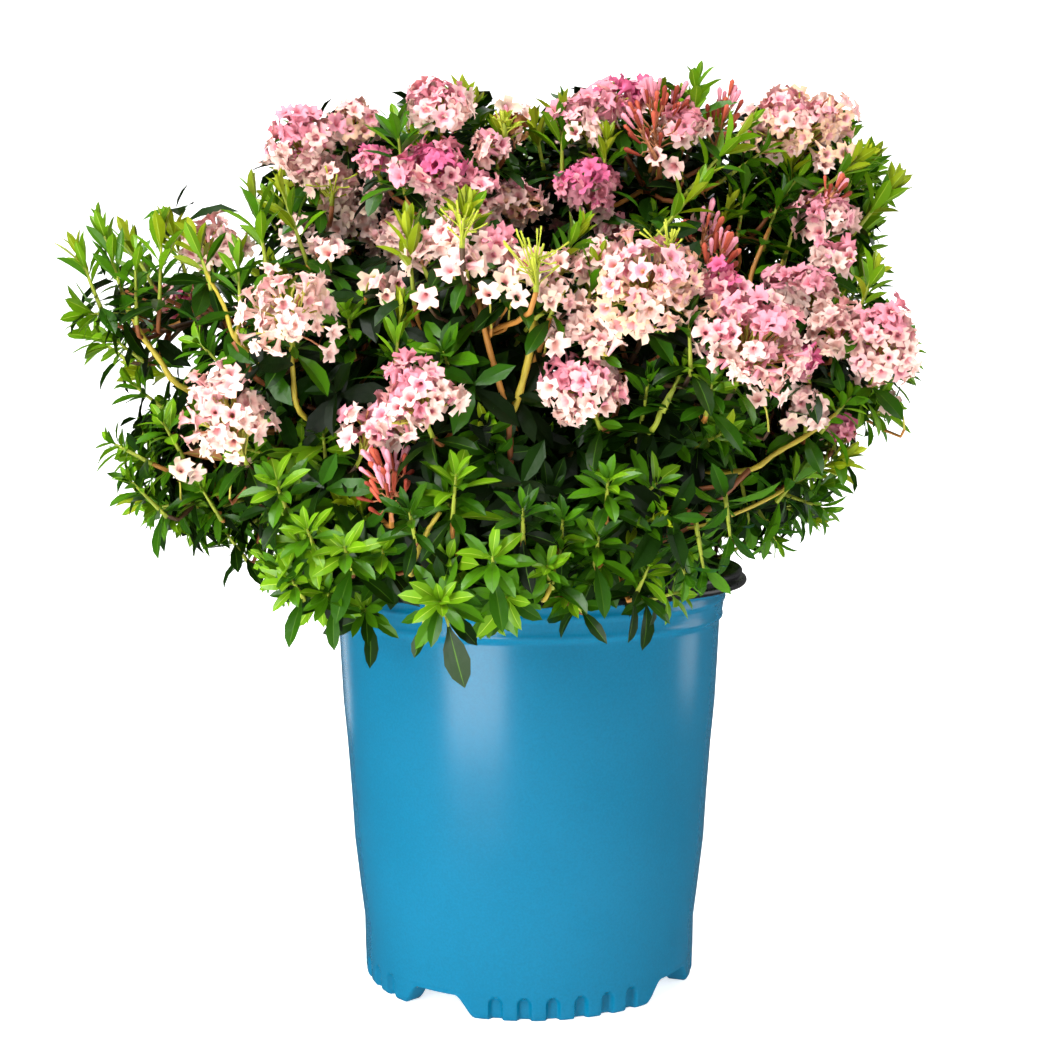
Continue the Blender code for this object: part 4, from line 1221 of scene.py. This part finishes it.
def growTwigs():
    # each mass: its bough goes on into a few limbs, one for each cluster of shoots, and twigs leave them for the shoots
    for name in foliageNodes:
        feet = np.array([g[0] for g in growth[name]])
        axes = np.array([g[1] for g in growth[name]])
        thick = np.array([g[2] for g in growth[name]])
        line, radii = limbs[name]
        end, ahead = line[-1], unit(line[-1] - line[-2])
        groups = max(2, int(round(len(feet) / 9)))
        seeds = [int(np.argmax(((feet - end) ** 2).sum(1)))]
        for _ in range(groups - 1):
            gaps = np.min(((feet[:, None] - feet[seeds][None]) ** 2).sum(-1), axis=1)
            seeds.append(int(np.argmax(gaps)))
        centres = feet[seeds].copy()
        for _ in range(5):
            nearest = np.argmin(((feet[:, None] - centres[None]) ** 2).sum(-1), axis=1)
            for g in range(groups):
                if np.any(nearest == g):
                    centres[g] = feet[nearest == g].mean(0)
        nodesAt = end + (centres - end) * 0.78
        reach = np.linalg.norm(nodesAt - end, axis=1, keepdims=True)
        ends = np.stack([np.tile(end - ahead * 0.004, (groups, 1)), end + ahead * 0.30 * reach, nodesAt - unit(nodesAt - end) * 0.3 * reach, nodesAt], 1)
        main = bezier(ends, 9)
        addLines(main, np.linspace(radii[-1] * 0.95, 0.0012, 9), stalkNumber["woodStem"])
        starts, slopes = [], []
        for k, g in enumerate(nearest):
            gaps = ((main[g] - feet[k]) ** 2).sum(1)
            at = max(1, int(np.argmin(gaps)) - 2)
            starts.append(main[g][at])
            slopes.append(unit(main[g][at] - main[g][at - 1]))
        starts, slopes = np.array(starts), np.array(slopes)
        length = np.linalg.norm(feet - starts, axis=1, keepdims=True)
        ends = np.stack([starts, starts + slopes * 0.35 * length, feet - axes * 0.35 * length, feet], 1)
        twigs = bezier(ends, 6)
        colour = np.array([stalkNumber[c] for c in ("woodStem", "redStem", "redStem", "tanStem")])[dice.integers(0, 4, len(feet))]
        addLines(twigs, np.linspace(1.15, 0.95, 6)[None] * thick[:, None], colour)


# the studio

studio = {"floor": screen(250, 250, 250), "glow": 0.74, "world": 0.10}


def makeStudio():
    # a sweep of pale floor that curves up behind
    turn = np.radians(np.linspace(0, 90, 24))
    run = [(-4.0, 0.0), (1.2, 0.0)] + [(1.2 + 1.2 * math.sin(t), 1.2 - 1.2 * math.cos(t)) for t in turn[1:]] + [(2.4, 5.0)]
    x = np.array([-5.0, 5.0])
    points = np.array([[a, y, z] for y, z in run for a in x])
    faces = sheetFaces(len(run), 2, closed=False)
    made, shader, place = material("studio sweep", studio["floor"], 0.9)
    shader.inputs["Emission Color"].default_value = (1, 1, 1, 1)
    shader.inputs["Emission Strength"].default_value = studio["glow"]
    floor = addMesh("studio_sweep", points, [faces], None, [made])
    floor.visible_glossy = False  # as if the floor ended out of the picture: a satin pot would mirror all of it
    # white all round for views from the other sides: a ball, x = r sin a cos b, y = r sin a sin b, z = r cos a, that sheds no light
    a = np.radians(np.linspace(1, 179, 18))[:, None]
    b = np.radians(np.arange(0, 360, 12))[None]
    ball = 9.0 * np.stack([np.sin(a) * np.cos(b), np.sin(a) * np.sin(b), np.cos(a) + 0 * b], -1)
    white, shader, place = material("studio ball", (0, 0, 0), 1.0, Specular_IOR_Level=0.0)
    shader.inputs["Emission Color"].default_value = (1, 1, 1, 1)
    shader.inputs["Emission Strength"].default_value = 1.0
    around = addMesh("studio_ball", *capped(ball), None, [white])
    around.visible_diffuse = around.visible_glossy = around.visible_transmission = around.visible_shadow = False
    world = bpy.data.worlds.new("studio")
    bpy.context.scene.world = world
    world.use_nodes = True
    world.node_tree.nodes["Background"].inputs["Color"].default_value = (1, 1, 1, 1)
    world.node_tree.nodes["Background"].inputs["Strength"].default_value = studio["world"]


lamps = [
    # name, place, aim, width, height, watts
    ("key", (-1.10, -1.45, 0.80), (0, 0, 0.24), 0.5, 1.4, 24),
    ("card", (-0.22, -0.40, 0.115), (0, 0, 0.14), 0.26, 0.22, 0.8),
    ("spark", (1.25, -0.62, 1.00), (0, 0, 0.20), 0.25, 0.40, 4),
    ("right", (1.6, 0.10, 0.70), (0, 0, 0.25), 0.3, 1.4, 4),
    ("top", (-0.4, -0.9, 1.75), (0, 0, 0.34), 1.0, 0.8, 38),
    ("back", (0.3, 1.9, 1.5), (0, 0, 0.35), 1.6, 1.2, 12),
    ("edgeLeft", (-0.50, 0.62, 0.20), (0, 0, 0.12), 0.16, 0.50, 0.3),
    ("edgeRight", (0.66, 0.16, 0.20), (0, 0, 0.12), 0.20, 0.40, 0.4),
]


def makeLamps():
    for name, place, aim, width, height, watts in lamps:
        data = bpy.data.lights.new(name, "AREA")
        data.shape = "RECTANGLE"
        data.size, data.size_y, data.energy = width, height, watts
        lamp = bpy.data.objects.new(name, data)
        lamp.location = place
        lamp.rotation_euler = (Vector(aim) - Vector(place)).to_track_quat("-Z", "Y").to_euler()
        lamp.visible_camera = False
        bpy.context.scene.collection.objects.link(lamp)


def makeCamera():
    data = bpy.data.cameras.new("camera")
    data.lens = view["lens"]
    data.sensor_width = 36
    camera = bpy.data.objects.new("camera", data)
    camera.location = view["place"]
    camera.rotation_euler = (math.radians(90 - view["down"]), 0, 0)
    bpy.context.scene.collection.objects.link(camera)
    bpy.context.scene.camera = camera
    bpy.context.scene.view_settings.view_transform = "Standard"
    bpy.context.scene.view_settings.look = "None"


makePot()
makeRim()
makeMix()
makeLimbs()
say("pot, mix and boughs stand")
placeShown()
placeRandom()
placeInner()
growTwigs()
say("shoots and trusses are placed")
makeLeaves()
makeBlossom()
makeStalks()
makeStudio()
makeLamps()
makeCamera()
